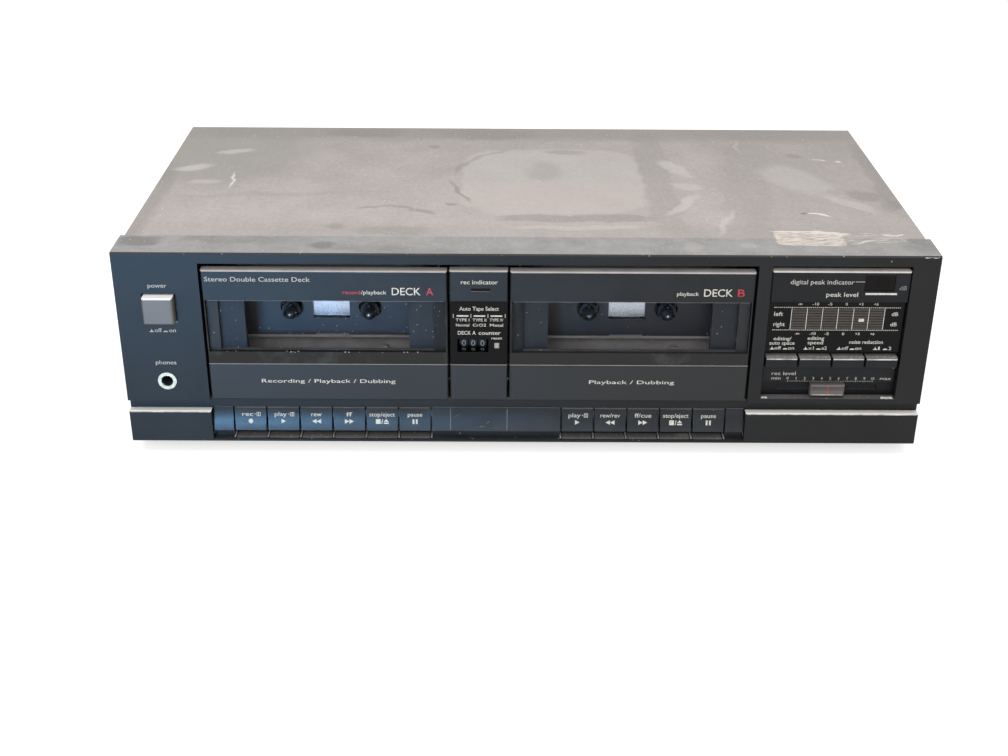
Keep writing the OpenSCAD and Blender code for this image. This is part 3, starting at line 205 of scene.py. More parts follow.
def moulded(name, colour, pale, rough, grain=0.9, cloud=45, dust=0.0, specks=0.0, bump=0.12, dusty="#dedad6",
            gloss=0.5, sheltered=(), zones=()):
    """Plastic or paint: cloudy colour, a fine grain, dust on what faces up and loose specks on it. Zones of depth or
    height are laid in a set tone, which is painted shade in the control recess and painted light behind the door
    panes, and dust is thinner where it is sheltered."""
    finish = bpy.data.materials.new(name)
    tree, shader, here = opened(finish)
    spot = add(tree, "SeparateXYZ", [here]).outputs
    clouds = add(tree, "TexNoise", [here, 1000 / cloud, 5, 0.6])
    wide = add(tree, "MapRange", [clouds, 0.36, 0.64])
    dull = add(tree, "MapRange", [clouds, 0, 1, rough - 0.08, rough + 0.08])
    fine = add(tree, "TexNoise", [here, 1000 / grain, 2])
    feed(tree, shader, {
        "IOR": 1.5, "Specular IOR Level": gloss,
        "Base Color": add(tree, "Mix", [wide, tint(colour), tint(pale)], "RGBA"),
        "Normal": add(tree, "Bump", {"Height": fine, "Strength": bump, "Distance": 0.0001})})
    for axis, low, high, shade in zones:
        coat(finish, band(tree, spot, axis, low, high), tint(shade))
    if dust:
        patches = add(tree, "TexNoise", [here, 1000 / 14, 6, 0.7])
        lying = add(tree, "MapRange", [patches, 0.3, 0.7, 0.7 * dust, dust])
        for low, high, share in sheltered:
            left = add(tree, "MapRange", [band(tree, spot, "Z", low, high), 0, 1, 1, share])
            lying = add(tree, "Math", [lying, left], "MULTIPLY")
        lying = add(tree, "MapRange", [upward(tree), 0.4, 0.72, 0, lying])
        coat(finish, lying, tint(dusty))
        dull = add(tree, "Mix", [lying, dull, 0.9])
    if specks:
        cells = add(tree, "TexVoronoi", [here, 1000 / 7])
        near = add(tree, "MapRange", [cells, 0.035, 0.06, 1, 0])
        each = add(tree, "SeparateColor", [cells.outputs["Color"]])
        few = add(tree, "Math", [each, 1 - specks], "GREATER_THAN")
        coat(finish, add(tree, "Math", [near, few], "MULTIPLY"), tint("#a9a8a4"))
    feed(tree, shader, {"Roughness": dull})
    return finish


# Baked crackle paint: near black, dull, with a grain of about 1 mm that breaks up the shine.
dress(moulded("Black crackle paint on steel", "#1b1b1c", "#242425", 0.62, grain=1.1, bump=0.4), "rear_panel")

# Feet: four tapered cups moulded in black plastic and pushed into the chassis floor.
# Hard plastic, evenly dull.
dress(moulded("Moulded black polypropylene", "#141415", "#1b1b1c", 0.55, grain=0.8), "feet")

# Boards: phenolic paper laminate with its parts soldered on, the main board on pillars over the
# chassis floor and a small one behind the control panel. The laminate is a dull tan.
dress(moulded("Phenolic paper laminate", "#6f5a2e", "#83703f", 0.6, grain=1.4, cloud=6), "main_board")
dress(moulded("Black solder resist on laminate", "#0c0d0e", "#141516", 0.4, grain=1.4, cloud=6), "front_board")

# Transformer: a stack of iron sheets in varnish with windings in front and behind, on two tabs
# screwed to the chassis. The edges of the sheets show as fine lines.
dress(sheet_metal("Varnished iron laminations", "#4c4742", "#6b655d", 0.55, 2, streak=(0.05, 1, 1),
                  metallic=0.6), "transformer")

# Motors and shafts: turned and pressed steel, bright and a little streaked round the turning.
turned_steel = sheet_metal("Turned bright steel", "#9a9c9e", "#bdbfc0", 0.3, 3, streak=(1, 0.2, 1))
dress(turned_steel, "motors", "key_shaft")

# Transport plates: stamped steel in a brown passivated plating, bolted behind each door. A film
# of old dust makes them look like dull grey-brown board through the windows.
plate_steel = moulded("Passivated steel plate", "#b9b4af", "#cfcac5", 0.6, grain=1.2, cloud=10, specks=0.4)
dress(plate_steel, "transport_plates")

# Flywheels, head plates and rollers: turned brass, plated steel heads and rubber rollers, with a
# rubber belt from each motor's pulley.
dress(sheet_metal("Turned brass", "#a88d55", "#c2a86d", 0.3, 2, streak=(1, 0.1, 1)), "flywheel_a", "flywheel_b")
dress(sheet_metal("Polished permalloy", "#b3aea3", "#cbc7bd", 0.22, 3), "head_plate_a", "head_plate_b")
rubber = moulded("Moulded black rubber", "#171717", "#202020", 0.75, grain=0.8)
dress(rubber, "pinch_roller_a", "pinch_roller_b", "belts")

# Reel tables: black acetal with a splined spindle each, turning on posts of the transport plate. The
# plastic is smooth, and each spindle ends in a small polished pin, which catches the light.


def at(x, y, z):
    """A place in panel millimetres, from the middle, the face and the bottom edge of the front panel."""
    return Vector((x / 1000, (y + face_y) / 1000, (z + foot_z) / 1000))


def made(name, bm, finish, body):
    """Turns a built mesh into a piece that rides on its body."""
    mesh = bpy.data.meshes.new(name)
    bm.to_mesh(mesh)
    bm.free()
    mesh.materials.append(finish)
    piece = bpy.data.objects.new(name, mesh)
    link(piece)
    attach(piece, body)
    return piece


acetal = moulded("Moulded black acetal", "#2b3036", "#363c43", 0.28, grain=2.0, bump=0.03)
door_middles = {"a": -105.3, "b": 55.7}
hub_reach, hub_z, pin_y, pin_radius = 21.25, 70, 15.2, 1.3
for deck, x in door_middles.items():
    for side, hub_x in (("supply", x - hub_reach), ("takeup", x + hub_reach)):
        dress(acetal, f"reel_{deck}_{side}")
        bm = bmesh.new()
        bmesh.ops.create_uvsphere(bm, u_segments=24, v_segments=12, radius=pin_radius / 1000)
        bmesh.ops.translate(bm, verts=bm.verts, vec=at(hub_x, pin_y, hub_z))
        made(f"reel_{deck}_{side}_pin", bm, turned_steel, f"{side}_reel_{deck}")

# Well covers: thin black mouldings in front of the reel tables, with a bright metallised card
# glued behind the opening in the middle to show how much tape is left. The steel plate is folded up
# over the lower edge, and a small bright clip holds it there.


def slab(name, finish, x, y, z, edge_highlight):
    """A closed block on the cabinet between two values on each axis, with bevelled edges."""
    bm = bmesh.new()
    for v in bmesh.ops.create_cube(bm, size=1.0)["verts"]:
        v.co = at(x[v.co.x > 0], y[v.co.y > 0], z[v.co.z > 0])
    bmesh.ops.bevel(bm, geom=bm.edges[:], offset=edge_highlight / 1000, segments=2, profile=0.5, affect="EDGES")
    made(name, bm, finish, "cabinet")


dress(moulded("Moulded black polystyrene", "#3f3b3b", "#4c4747", 0.5, grain=1.2, gloss=0.75), "well_covers")
pale_acetal = moulded("Moulded pale acetal", "#9a9fa4", "#aab0b5", 0.4, grain=1.0)
# Metallised card: a bright, slightly cool mirror with a dull bloom, so it picks up the pale room.
foil = sheet_metal("Metallised card", "#e9eef3", "#f6f9fc", 0.26, 9, bump=0.01)
for deck, x in door_middles.items():
    for name, finish, half, y, z, edge_highlight in (("tape_card", foil, 12, (27.1, 27.6), (64.2, 79.5), 0.1),
                                           ("plate_lip", plate_steel, 58, (24.6, 25.1), (52.2, 53.6), 0.05),
                                           ("card_clip", pale_acetal, 9, (24.5, 25.1), (53.6, 54.3), 0.1)):
        slab(f"{name}_{deck}", finish, (x - half, x + half), y, z, edge_highlight)

# Front panel: one moulding in black ABS with a satin, finely sparked face. Dust lies pale on every
# ledge that faces up, and the white words are screen printed.
satin_abs = moulded("Sparked black ABS", "#121314", "#191a1c", 0.46, grain=1.0, dust=1.3, specks=0.06, gloss=0.27,
                    dusty="#fdfbf9", sheltered=[(-1, 1.9, 0.02), (1.9, 2.3, 0.15), (2.3, 16, 0.4),
                                                (27, 29.5, 0.12), (109, 111.55, 0.02), (111.55, 113, 0.365)])
dress(satin_abs, "front_panel")


def ink(name, colour, pale, rough=0.6, cloud=1.5, gloss=0.5):
    """Screen-printing ink: a thin dull film, a little rubbed so that its tone is uneven."""
    return moulded(name, colour, pale, rough, grain=0.6, cloud=cloud, gloss=gloss)


white_ink = ink("White screen ink", "#c9c8c0", "#e6e5de")
faded_ink = ink("Faded white screen ink", "#b4b2ac", "#cbc9c3")
red_ink = ink("Red screen ink", "#b32c38", "#d14450")
# The grey ink also draws the painted highlight along the top edge of each pane.
grey_ink_and_highlight = ink("Grey screen ink and painted highlight", "#77787a", "#8d8e8e")

typist = bpy.data.objects.new("type", bpy.data.curves.new("type", "FONT"))
link(typist)
typist.data.resolution_u = 3


def typeset(text, weight=0.0):
    """The flat mesh of a line of type, its strokes made bolder or thinner by a weight."""
    typist.data.body = text
    typist.data.offset = weight
    bpy.context.view_layer.update()
    return bpy.data.meshes.new_from_object(typist.evaluated_get(bpy.context.evaluated_depsgraph_get()))


capital = max(v.co.y for v in typeset("H").vertices)
film, stroke = 0.05, 0.005


def lay_type(bm, text, weight, place):
    """Adds a line of type to a mesh. Each point is placed by its distance from the line's middle, its height
    as a share of a capital's, and the line's width."""
    flat = typeset(text, weight)
    xs = [v.co.x for v in flat.vertices]
    centre, wide = (min(xs) + max(xs)) / 2, max(xs) - min(xs)
    corners = [bm.verts.new(place(v.co.x - centre, v.co.y / capital, wide)) for v in flat.vertices]
    for p in flat.polygons:
        bm.faces.new([corners[i] for i in p.vertices])
    bpy.data.meshes.remove(flat)


def printed(name, body, ink, words=(), marks=(), face=0.0, side=1):
    """Printed words (text, middle, baseline, capital height, width) and marks (outlines) on a face, given by
    its depth or a function for that, read from the front (side 1) or from the back (side -1)."""
    bm = bmesh.new()

    def on_face(x, z):
        return at(x, (face(x, z) if callable(face) else face) - side * film, z)

    for text, middle, base, high, width in words:
        lay_type(bm, text, stroke,
                 lambda out, up, wide: on_face(middle + side * out * width / wide, base + up * high))
    for outline in marks:
        bm.faces.new([bm.verts.new(on_face(x, z)) for x, z in outline])
    made(name, bm, ink, body)


def bar(x0, x1, z0, z1):
    """The outline of a printed bar."""
    return [(x0, z0), (x1, z0), (x1, z1), (x0, z1)]


# The marks of a button standing out and of one pushed in, from the middle of their foot.
raised = [(-1.1, 0), (1.1, 0), (1.1, 0.5), (0.5, 0.5), (0, 1.9), (-0.5, 0.5), (-1.1, 0.5)]
pressed = [(-1.2, 0), (1.2, 0), (1.2, 0.4), (0.5, 0.8), (-0.5, 0.8), (-1.2, 0.4)]


def moved(outline, x, z):
    """An outline set at a place."""
    return [(x + out, z + up) for out, up in outline]


printed("panel_words", "cabinet", faded_ink,
        words=[("power", -192.3, 92, 2.3, 9.8), ("off", -194.2, 66.4, 2.2, 3.8), ("on", -186.7, 66.4, 2.2, 3.6),
               ("phones", -192, 47.4, 2.3, 11)],
        marks=[moved(raised, -197.7, 66.4), moved(pressed, -190.3, 66.4)])


def patch(tree, spot, x, y, half_x, half_y, turn=0, block=0, soft=0.4, strength=1.0):
    """How far a spot lies in an oval (block 0) or a rounded block (block up to 1), seen from above."""
    local = add(tree, "Mapping", [spot, (x / 1000, (y + face_y) / 1000, 0), (0, 0, math.radians(turn)),
                                  (half_x / 1000, half_y / 1000, 1000)], vector_type="TEXTURE")
    size = add(tree, "VectorMath", [local], "ABSOLUTE")
    past = add(tree, "VectorMath", [size, (block, block, 0)], "SUBTRACT")
    outer = add(tree, "VectorMath", [past, (0, 0, 0)], "MAXIMUM")
    reach = add(tree, "VectorMath", [outer], "LENGTH")
    return add(tree, "MapRange", [reach, (1 - block) * (1 - soft), (1 - block) * (1 + soft), strength, 0],
               interpolation_type="SMOOTHSTEP")


def marked(finish, marks):
    """Lays ragged wiped and dusty patches (colour, strength, then the patch) on what faces up."""
    tree, shader, here = opened(finish)
    shown = shader.inputs["Base Color"].links[0].from_socket
    swirl = add(tree, "TexNoise", [here, 1000 / 20, 6])
    centred = add(tree, "VectorMath", [swirl.outputs["Color"], (0.5, 0.5, 0.5)], "SUBTRACT")
    pushed = add(tree, "VectorMath", [centred, 0.014], "SCALE")
    ragged = add(tree, "VectorMath", [here, pushed], "ADD")
    for colour, strength, *oval in marks:
        shown = add(tree, "Mix", [patch(tree, ragged, *oval, strength=strength), shown, tint(colour)],
                    "RGBA")
    coat(finish, add(tree, "MapRange", [upward(tree), 0.3, 0.9]), shown)


def scuffed(finish, share, *block):
    """Adds long scratches through to a pale ground, over a share of a block of a top face."""
    tree, _, here = opened(finish)
    level = add(tree, "MapRange", [patch(tree, here, *block), 0, 1, -0.4, share - 0.5])
    drawn = add(tree, "Mapping", {"Vector": here, "Rotation": (0, 0, 0.02), "Scale": (1, 8, 1)})
    lines = add(tree, "TexNoise", [drawn, 1000 / 8, 6, 0.75])
    deep = add(tree, "Math", [lines, level], "ADD")
    bare = add(tree, "MapRange", [deep, 0.48, 0.58])
    seen = add(tree, "Math", [bare, upward(tree)], "MULTIPLY", use_clamp=True)
    coat(finish, seen, tint("#f0e4da"))


def scratch_through(finish):
    """The scuff at the right, where something hard was dragged along the top edge."""
    scuffed(finish, 0.55, 151, 25, 19, 11.5, -2, 0.7, 0.25)
    scuffed(finish, 0.46, 184, 26, 22, 9, -2, 0.5, 0.4)
    chalk, ground = "#f6efe8", "#efe6de"
    marked(finish, [(chalk, 0.9, 146, 35.5, 13, 0.8, -1, 0.5), (chalk, 0.9, 163, 33, 11, 0.9, -2, 0.5),
                    (chalk, 0.9, 197, 30, 6, 0.7, 0, 0.5), (ground, 0.8, 180, 19.5, 7, 1.1, 3, 0, 0.5)])


def linted(finish, cell, share):
    """Lays specks of lint on a top face, in a share of squares of a size, drawn 0.6 mm wide so that they show."""
    tree, _, here = opened(finish)
    cells = add(tree, "TexVoronoi", [here, 1000 / cell], voronoi_dimensions="2D")
    near = add(tree, "MapRange", [cells, 0.18 / cell, 0.34 / cell, 1, 0])
    each = add(tree, "SeparateColor", [cells.outputs["Color"]])
    faint = add(tree, "MapRange", [each, 1 - share, 1])
    lying = add(tree, "Math", [faint, upward(tree)], "MULTIPLY", use_clamp=True)
    coat(finish, add(tree, "Math", [near, lying], "MULTIPLY"), tint("#f2efe9"))


dark, pale = "#6f6d69", "#cdc8c2"
marked(satin_abs, [(dark, 0.5, -203, 17, 12, 6, 0, 0.3), (dark, 0.5, -106, 11.8, 7, 5),
                   (dark, 0.22, -150, 18, 28, 5, 0, 0.3, 0.5), (dark, 0.2, -70, 6, 28, 5, 0, 0.3, 0.5),
                   (pale, 0.35, 87.5, 11, 5, 6, 10), (pale, 0.35, 117, 13, 6, 4),
                   (dark, 0.3, 210, 16, 10, 10, 0, 0.2, 0.5)])
scratch_through(satin_abs)
linted(satin_abs, 4, 0.6)

# Pale edges: a pale line is painted along the top of the lower rail, and at one top corner the black is rubbed to a
# pale line. The same pale finish draws a painted highlight along each button's top edge.
worn_and_highlight = moulded("Rubbed ABS edge and painted highlight", "#9a9896", "#efece8", 0.7, grain=0.6, cloud=9)
printed("rail_edge", "cabinet", worn_and_highlight,
        marks=[bar(-214.2, -171, 18.2, 18.75), bar(121.4, 214.2, 18.2, 18.75)])
printed("corner_chip", "cabinet", worn_and_highlight,
        marks=[[(205.6, 110.9), (206.8, 110.5), (209.9, 110.9), (211.6, 110.3), (214.2, 111)]])

# Keys and blanks: scooped caps in black ABS with a smooth face, on levers that tip on the key
# shaft. The blanks beside and between them share their curve. The words are printed.


def merged(node):
    """A copy of a carried-over mesh with its doubled corners joined and its flat faces whole."""
    bm = bmesh.new()
    bm.from_mesh(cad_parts[node].data)
    bmesh.ops.remove_doubles(bm, verts=bm.verts, dist=0.000002)
    bmesh.ops.dissolve_limit(bm, angle_limit=math.radians(1), verts=bm.verts, edges=bm.edges)
    return bm


def softened(node, width, finish, body):
    """Stands in for a moulding with its sharp outer corners rounded, as it leaves the mould."""
    bm = merged(node)
    sharp = [e for e in bm.edges if len(e.link_faces) == 2 and e.calc_face_angle_signed() > math.radians(35)]
    bmesh.ops.bevel(bm, geom=sharp, offset=width / 1000, segments=2, profile=0.5, affect="EDGES",
                    clamp_overlap=True)
    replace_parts(made(f"{node}_soft", bm, finish, body), node)


gloss_abs = moulded("Smooth black ABS", "#191b1e", "#26292d", 0.4, grain=3.0, cloud=22, specks=0.25, dust=0.5,
                    bump=0.04, gloss=0.27)
dress(gloss_abs, "key_blanks")
key_foot, key_high, key_lip, key_sunk = 6.7, 12.6, 1, 2.8


def key_scoop(x, z):
    """How far a key's face lies behind the panel's face."""
    return key_lip + key_sunk * (1 - (1 - (z - key_foot) / key_high) ** 2)


mark_z, mark_half, mark_low, mark_high = 11.5, 1.25, 10.2, 12.8


def arrow(x, point):
    """The outline of a triangle that points left (-1) or right (1)."""
    back = x - point * mark_half
    tip = (x + point * mark_half, mark_z)
    return [(back, mark_z - mark_half), tip, (back, mark_z + mark_half)][::1 if point > 0 else -1]


def ring(x, z, r, n=20):
    """The outline of a round dot."""
    return [(x + r * math.cos(2 * math.pi * i / n), z + r * math.sin(2 * math.pi * i / n)) for i in range(n)]


def key_marks(kind, x):
    """The printed marks of one key."""
    left, right = x - mark_half, x + mark_half
    slash = [(x - 0.5, mark_low), (x - 0.1, mark_low), (x + 0.5, mark_high), (x + 0.1, mark_high)]
    eject = [bar(x + 0.8, x + 3.6, mark_low, 10.9), [(x + 0.8, 11.3), (x + 3.6, 11.3), (x + 2.2, 12.9)]]
    return {"rec": [ring(x, mark_z, mark_half)], "play": [arrow(x, 1)],
            "rewind": [arrow(left, -1), arrow(right, -1)], "forward": [arrow(left, 1), arrow(right, 1)],
            "stop": [bar(x - 3.5, x - 0.9, mark_low, mark_high), slash, *eject],
            "pause": [bar(x - 1.4, x - 0.4, mark_low, mark_high), bar(x + 0.4, x + 1.4, mark_low, mark_high)]}[kind]


key_pitch, key_half = 18, 8.6
for deck, first, keys in (
        ("a", -158.4, [("rec", "rec", 6), ("play", "play", 6.6), ("rewind", "rew", 5.7), ("forward", "ff", 3.3),
                       ("stop", "stop/eject", 14), ("pause", "pause", 8)]),
        ("b", 20.6, [("play", "play", 6.6), ("rewind", "rew/rev", 10.7), ("forward", "ff/cue", 9.2),
                     ("stop", "stop/eject", 14), ("pause", "pause", 8.2)])):
    for place, (kind, word, width) in enumerate(keys):
        x = first + key_pitch * place + key_half
        body = f"{kind}_key_{deck}"
        softened(f"key_{deck}_{kind}", 0.3, gloss_abs, body)
        marks = key_marks(kind, x)
        shift = 0.0
        if kind in ("rec", "play"):
            # A dash and a small box with a bar in it stand beside the word.
            shift = -1.6
            box_x = x + width / 2 + 0.3
            marks += [bar(box_x + x0, box_x + x1, z0, z1) for x0, x1, z0, z1 in (
                (-1.2, -0.5, 15.2, 15.6), (0, 2.2, 14.2, 14.5), (0, 2.2, 16.2, 16.5), (0, 0.3, 14.5, 16.2),
                (1.9, 2.2, 14.5, 16.2), (0.9, 1.3, 14.5, 16.2))]
        printed(f"key_{deck}_{kind}_words", body, white_ink, face=key_scoop,
                words=[(word, x + shift, 14.3, 2.3, width)], marks=marks)

# The long blank is three mouldings in a row. Dust fills the two joints and is smeared on the face.
printed("blank_joints", "cabinet", grey_ink_and_highlight, face=key_scoop,
        marks=[bar(x - 0.4, x - 0.1, z, z + 2.4) for x in (-40.1, -9.1) for z in (7, 9.4, 11.8, 14.2, 16.6)])
smear_dust = moulded("Dust smear", "#4b4c4e", "#5e5f60", 0.8, grain=0.6, cloud=2)
printed("blank_smears", "cabinet", smear_dust, face=key_scoop, marks=[
    [(-38.6, 14.2), (-38.2, 14.2), (-34.3, 16), (-34.9, 16)],
    [(-24.8, 8.6), (-22, 8.8), (-21.5, 9.3), (-24.2, 9.2)],
    [(-20.8, 10.4), (-20.3, 10.3), (-18.9, 11.8), (-19.4, 12)], [(-17.5, 8.2), (-14.2, 8.1), (-15, 8.5)]])

# Doors: frames moulded in black ABS, with plates above and below a window, hinged behind the rail
# at the foot. A clear acrylic pane is glued in, and a holder behind takes the cassette.
# From 3 mm behind the face, the door's inner faces seen through the pane are a lighter grey: painted light where
# little light reaches.
# The sill's top under the pane, 54.2 to 55.4 mm up, keeps a fifth of the dust. This is partly dust and partly
# painted light, so that the shaded sill looks like the lit plate behind it.
plate_abs = moulded("Sparked black ABS, door", "#121417", "#1c1e21", 0.44, grain=1.0, cloud=30, dust=1.1,
                    specks=0.1, gloss=0.3, dusty="#cbc7c5",
                    sheltered=[(45, 47, 0), (47, 48.5, 0.8), (48.5, 54.2, 0), (54.2, 55.4, 0.2), (55.4, 90, 0)],
                    zones=[("Z", 26, 47, "#292a2b"), ("Y", 3, 30, "#464647")])
dress(plate_abs, "door_a", "door_b")
dress(moulded("Smooth black ABS, holder", "#303234", "#3c3e41", 0.45, grain=2.0, cloud=30, gloss=0.45),
      "holder_a", "holder_b")
pane_y, acrylic_ior, edge_slope, front_glare = 0.7, 1.49, 0.52, 0.055


def acrylic(name, through, clear_part, sheen, smears):
    """A coated acrylic pane, clear inside (x0, x1, z0, z1) and painted black behind the rest, up to an edge
    that slopes down inwards. The coating takes away glare from the front, so gloss comes only at a slant."""
    finish = bpy.data.materials.new(name)
    tree, black, here = opened(finish)
    haze = add(tree, "TexNoise", [here, 1000 / 25, 6, 0.65])
    tone = add(tree, "MapRange", [haze, 0.55, 1])
    feed(tree, black, {
        "IOR": acrylic_ior, "Specular IOR Level": sheen,
        "Base Color": add(tree, "Mix", [tone, tint("#0b0c0f"), tint(smears)], "RGBA"),
        "Roughness": add(tree, "MapRange", [haze, 0, 1, 0.05, 0.25])})
    behind = add(tree, "BsdfTransparent", [tint(through)])
    mirror = add(tree, "BsdfAnisotropic", [tint("#f4f6f8"), 0.05])
    edge_highlight = add(tree, "Fresnel", [acrylic_ior])
    slant = add(tree, "Math", [edge_highlight, front_glare], "SUBTRACT", use_clamp=True)
    outer = add(tree, "Math", [1, add(tree, "NewGeometry").outputs["Backfacing"]], "SUBTRACT")
    glare = add(tree, "Math", [slant, outer], "MULTIPLY")
    clear = add(tree, "MixShader", [glare, behind, mirror])
    x0, x1, z0, z1 = clear_part
    spot = add(tree, "SeparateXYZ", [here]).outputs
    sunk = add(tree, "Math", [spot["Y"], edge_slope, spot["Z"]], "MULTIPLY_ADD")
    middle = (z0 + z1 + 2 * foot_z) / 2000 + edge_slope * (pane_y + face_y) / 1000
    upright = add(tree, "Math", [sunk, middle, (z1 - z0) / 2000], "COMPARE")
    opening = add(tree, "Math", [band(tree, spot, "X", x0, x1), upright], "MULTIPLY")
    feed(tree, tree.nodes["Material Output"], {"Surface": add(tree, "MixShader", [opening, black, clear])})
    return finish


# Cast acrylic with a light smoke: clear to the eye over the cassette, glossy black in the strip below.
# A painted highlight, a thin grey line, runs along the top edge of each pane.
for deck, x in door_middles.items():
    dress(acrylic(f"Light smoke acrylic {deck}", "#ecedef", (x - 63, x + 63, 54.8, 90), 0.4, "#54575b"),
          f"door_{deck}_window")
    printed(f"pane_{deck}_edge", f"deck_{deck}_door", grey_ink_and_highlight, face=pane_y,
            marks=[bar(x - 62, x + 62, 84.4, 84.6)])
for name, finish, words in (
        ("a_words", white_ink, [("/playback", -79.6, 88.8, 2.1, 13.3), ("DECK", -62.6, 88.4, 4.1, 15.1),
                                ("Recording / Playback / Dubbing", -105.6, 36.7, 2.1, 72)]),
        ("a_title", faded_ink, [("Stereo Double Cassette Deck", -140, 95.7, 2.5, 55)]),
        ("a_red", red_ink, [("record", -91.2, 88.8, 2.1, 9.2), ("A", -50.4, 88.4, 4.1, 3.8)]),
        ("b_words", white_ink, [("playback", 84.7, 88.8, 2.1, 11.5), ("DECK", 100.6, 88.4, 4.1, 15.1),
                                ("Playback / Dubbing", 57.6, 36.7, 2.1, 46)]),
        ("b_red", red_ink, [("B", 112.6, 88.4, 4.1, 3.7)])):
    printed(f"deck_{name}", f"deck_{name[0]}_door", finish, words=words)

# Centre panel: a narrow ABS plate between the doors with a smoked pane let in. Behind it three
# number wheels turn in a frame, and a small white button sets them back.
dress(plate_abs, "centre_panel")
# Back-painted acrylic: black with a sharp gloss, clear only in front of the number wheels.
dress(acrylic("Back-painted acrylic", "#e4e6e8", (-36.2, -19.6, 55.2, 62.8), 0.14, "#101114"), "smoked_windows")
dress(moulded("Moulded grey acetal", "#3b3e41", "#47494c", 0.5), "counter_frame")
dress(moulded("Moulded white ABS", "#9c9c97", "#aeaea9", 0.45), "reset_button")
printed("centre_words", "cabinet", white_ink, words=[("rec indicator", -24.4, 94.8, 2.3, 19.3)])
types = [(-33.3, "TYPE I", "Normal"), (-24.4, "TYPE II", "CrO2"), (-15.4, "TYPE IV", "Metal")]
printed("counter_words", "cabinet", white_ink, face=pane_y,
        words=[("Auto Tape Select", -24.6, 79.4, 2.2, 20.8), ("DECK A", -31.1, 65.4, 2.1, 9.5),
               ("counter", -19, 65.4, 2.2, 11.7), ("reset", -15.2, 62.7, 1.5, 5.7)]
        + [(top, x, 73.2, 1.6, 7.2) for x, top, low in types] + [(low, x, 70.2, 1.6, 7) for x, top, low in types],
        marks=[bar(x - 3.1, x + 3.1, 75.9, 76.7) for x, top, low in types]
        + [bar(x - 0.15, x + 0.15, 75.2, 77.4) for x in (-38.2, -28.9, -19.9, -10.8)])

# Number wheels: each carries the ten figures round its rim, raised by a printed film. The figure
# at the front shows through a clear part of the smoked pane.
wheel_black = moulded("Moulded black polystyrene, wheel", "#0e0f11", "#15161a", 0.4)
wheel_y, wheel_z, wheel_r = 11.7, 59, 8.0
figure_high, figure_scale, figure_weight = 3.3, 2.9 / 0.6, 0.015
for name, x in (("units", -22.85), ("tens", -27.8), ("hundreds", -32.75)):
    dress(wheel_black, f"counter_{name}")
    bm = bmesh.new()
    for figure in range(10):
        def on_rim(out, up, wide):
            turn = (up - 0.5) * figure_high / wheel_r + math.radians(36 * figure)
            return at(x + out * figure_scale, wheel_y - (wheel_r + film) * math.cos(turn),
                      wheel_z + (wheel_r + film) * math.sin(turn))
        lay_type(bm, str(figure), figure_weight, on_rim)
    made(f"{name}_figures", bm, white_ink, f"{name}_wheel")

# Control panel: an ABS plate with a recess for the buttons and the level slider. A smoked pane
# covers the level display, whose scale is printed on it.
# Deeper than 4.5 mm behind the face, the recess is near black: painted shade.
bezel_abs = moulded("Sparked black ABS, bezel", "#121417", "#1a1c1f", 0.44, grain=1.0, cloud=30, dust=1.0,
                    specks=0.1, gloss=0.22, dusty="#f4eee8", sheltered=[(20, 60, 0.1), (88, 94, 0)],
                    zones=[("Y", 4.5, 30, "#08090b")])
dress(bezel_abs, "control_bezel")
display_y, readout_y = 3, 0.6
printed("display_words", "cabinet", white_ink,
        words=[("peak level", 165.4, 88.7, 2.4, 16.6)], marks=[bar(177.4, 194, 89.8, 90.9)])
printed("indicator_words", "cabinet", faded_ink,
        words=[("digital peak indicator", 154.4, 95.7, 2.5, 33.3)], marks=[bar(171.6, 176.6, 97, 97.3)])
printed("readout_unit", "cabinet", grey_ink_and_highlight, words=[("dB", 196.9, 92.6, 2.3, 3.8)])
scale = [(144.7, "-∞"), (152.9, "-10"), (160.4, "-5"), (169.2, "0"), (176.8, "+3"), (184.8, "+6")]
positions_z = 56.4
positions = [(raised, 132.1, "off", 135.2, 3.6), (pressed, 139.1, "on", 142.3, 3.4), (raised, 150.1, "x1", 153, 2.9),
             (pressed, 157, "x2", 160, 2.9), (raised, 168, "off", 171.2, 3.6), (pressed, 175, "on", 178.2, 3.4),
             (raised, 187.4, "1", 189.4, 0.9), (pressed, 192.8, "2", 195.3, 1.5)]
printed("level_words", "cabinet", white_ink, face=display_y,
        words=[(word, x, z, 1.5, 1.15 * len(word)) for x, word in scale for z in (82.4, 65.1)]
        + [("left", 133.8, 76.2, 2.3, 4.7), ("right", 134.6, 70.2, 2.3, 6), ("dB", 195.4, 76.4, 2.1, 3.4),
           ("dB", 195.4, 70.4, 2.1, 3.4), ("editing/", 137.2, 61.9, 2, 9.6), ("auto space", 137.2, 59.3, 2, 13.4),
           ("editing", 155, 62.2, 2, 8.9), ("speed", 155, 59.6, 2, 8.2),
           ("noise reduction", 182.1, 60, 2.1, 18)]
        + [(word, x, positions_z, 1.9, width) for sign, sign_x, word, x, width in positions],
        marks=[moved(sign, sign_x, positions_z) for sign, sign_x, word, x, width in positions])


def rule(name, labels):
    """A new rule with inputs of the given kinds, and the sockets that give them."""
    tree = bpy.data.node_groups.new(name, "GeometryNodeTree")
    for label, kind in {"Geometry": "Geometry", **labels}.items():
        tree.interface.new_socket(label, in_out="INPUT", socket_type=f"NodeSocket{kind}")
    tree.interface.new_socket("Geometry", in_out="OUTPUT", socket_type="NodeSocketGeometry")
    return tree, add(tree, "NodeGroupInput").outputs


def close_rule(tree, instances, finish):
    """Ends a rule: its instances are made real and given their material."""
    real = add(tree, "GeometryNodeRealizeInstances", [instances])
    coated = add(tree, "GeometryNodeSetMaterial", {"Geometry": real, "Material": finish})
    add(tree, "NodeGroupOutput", {"Geometry": coated})
    return tree


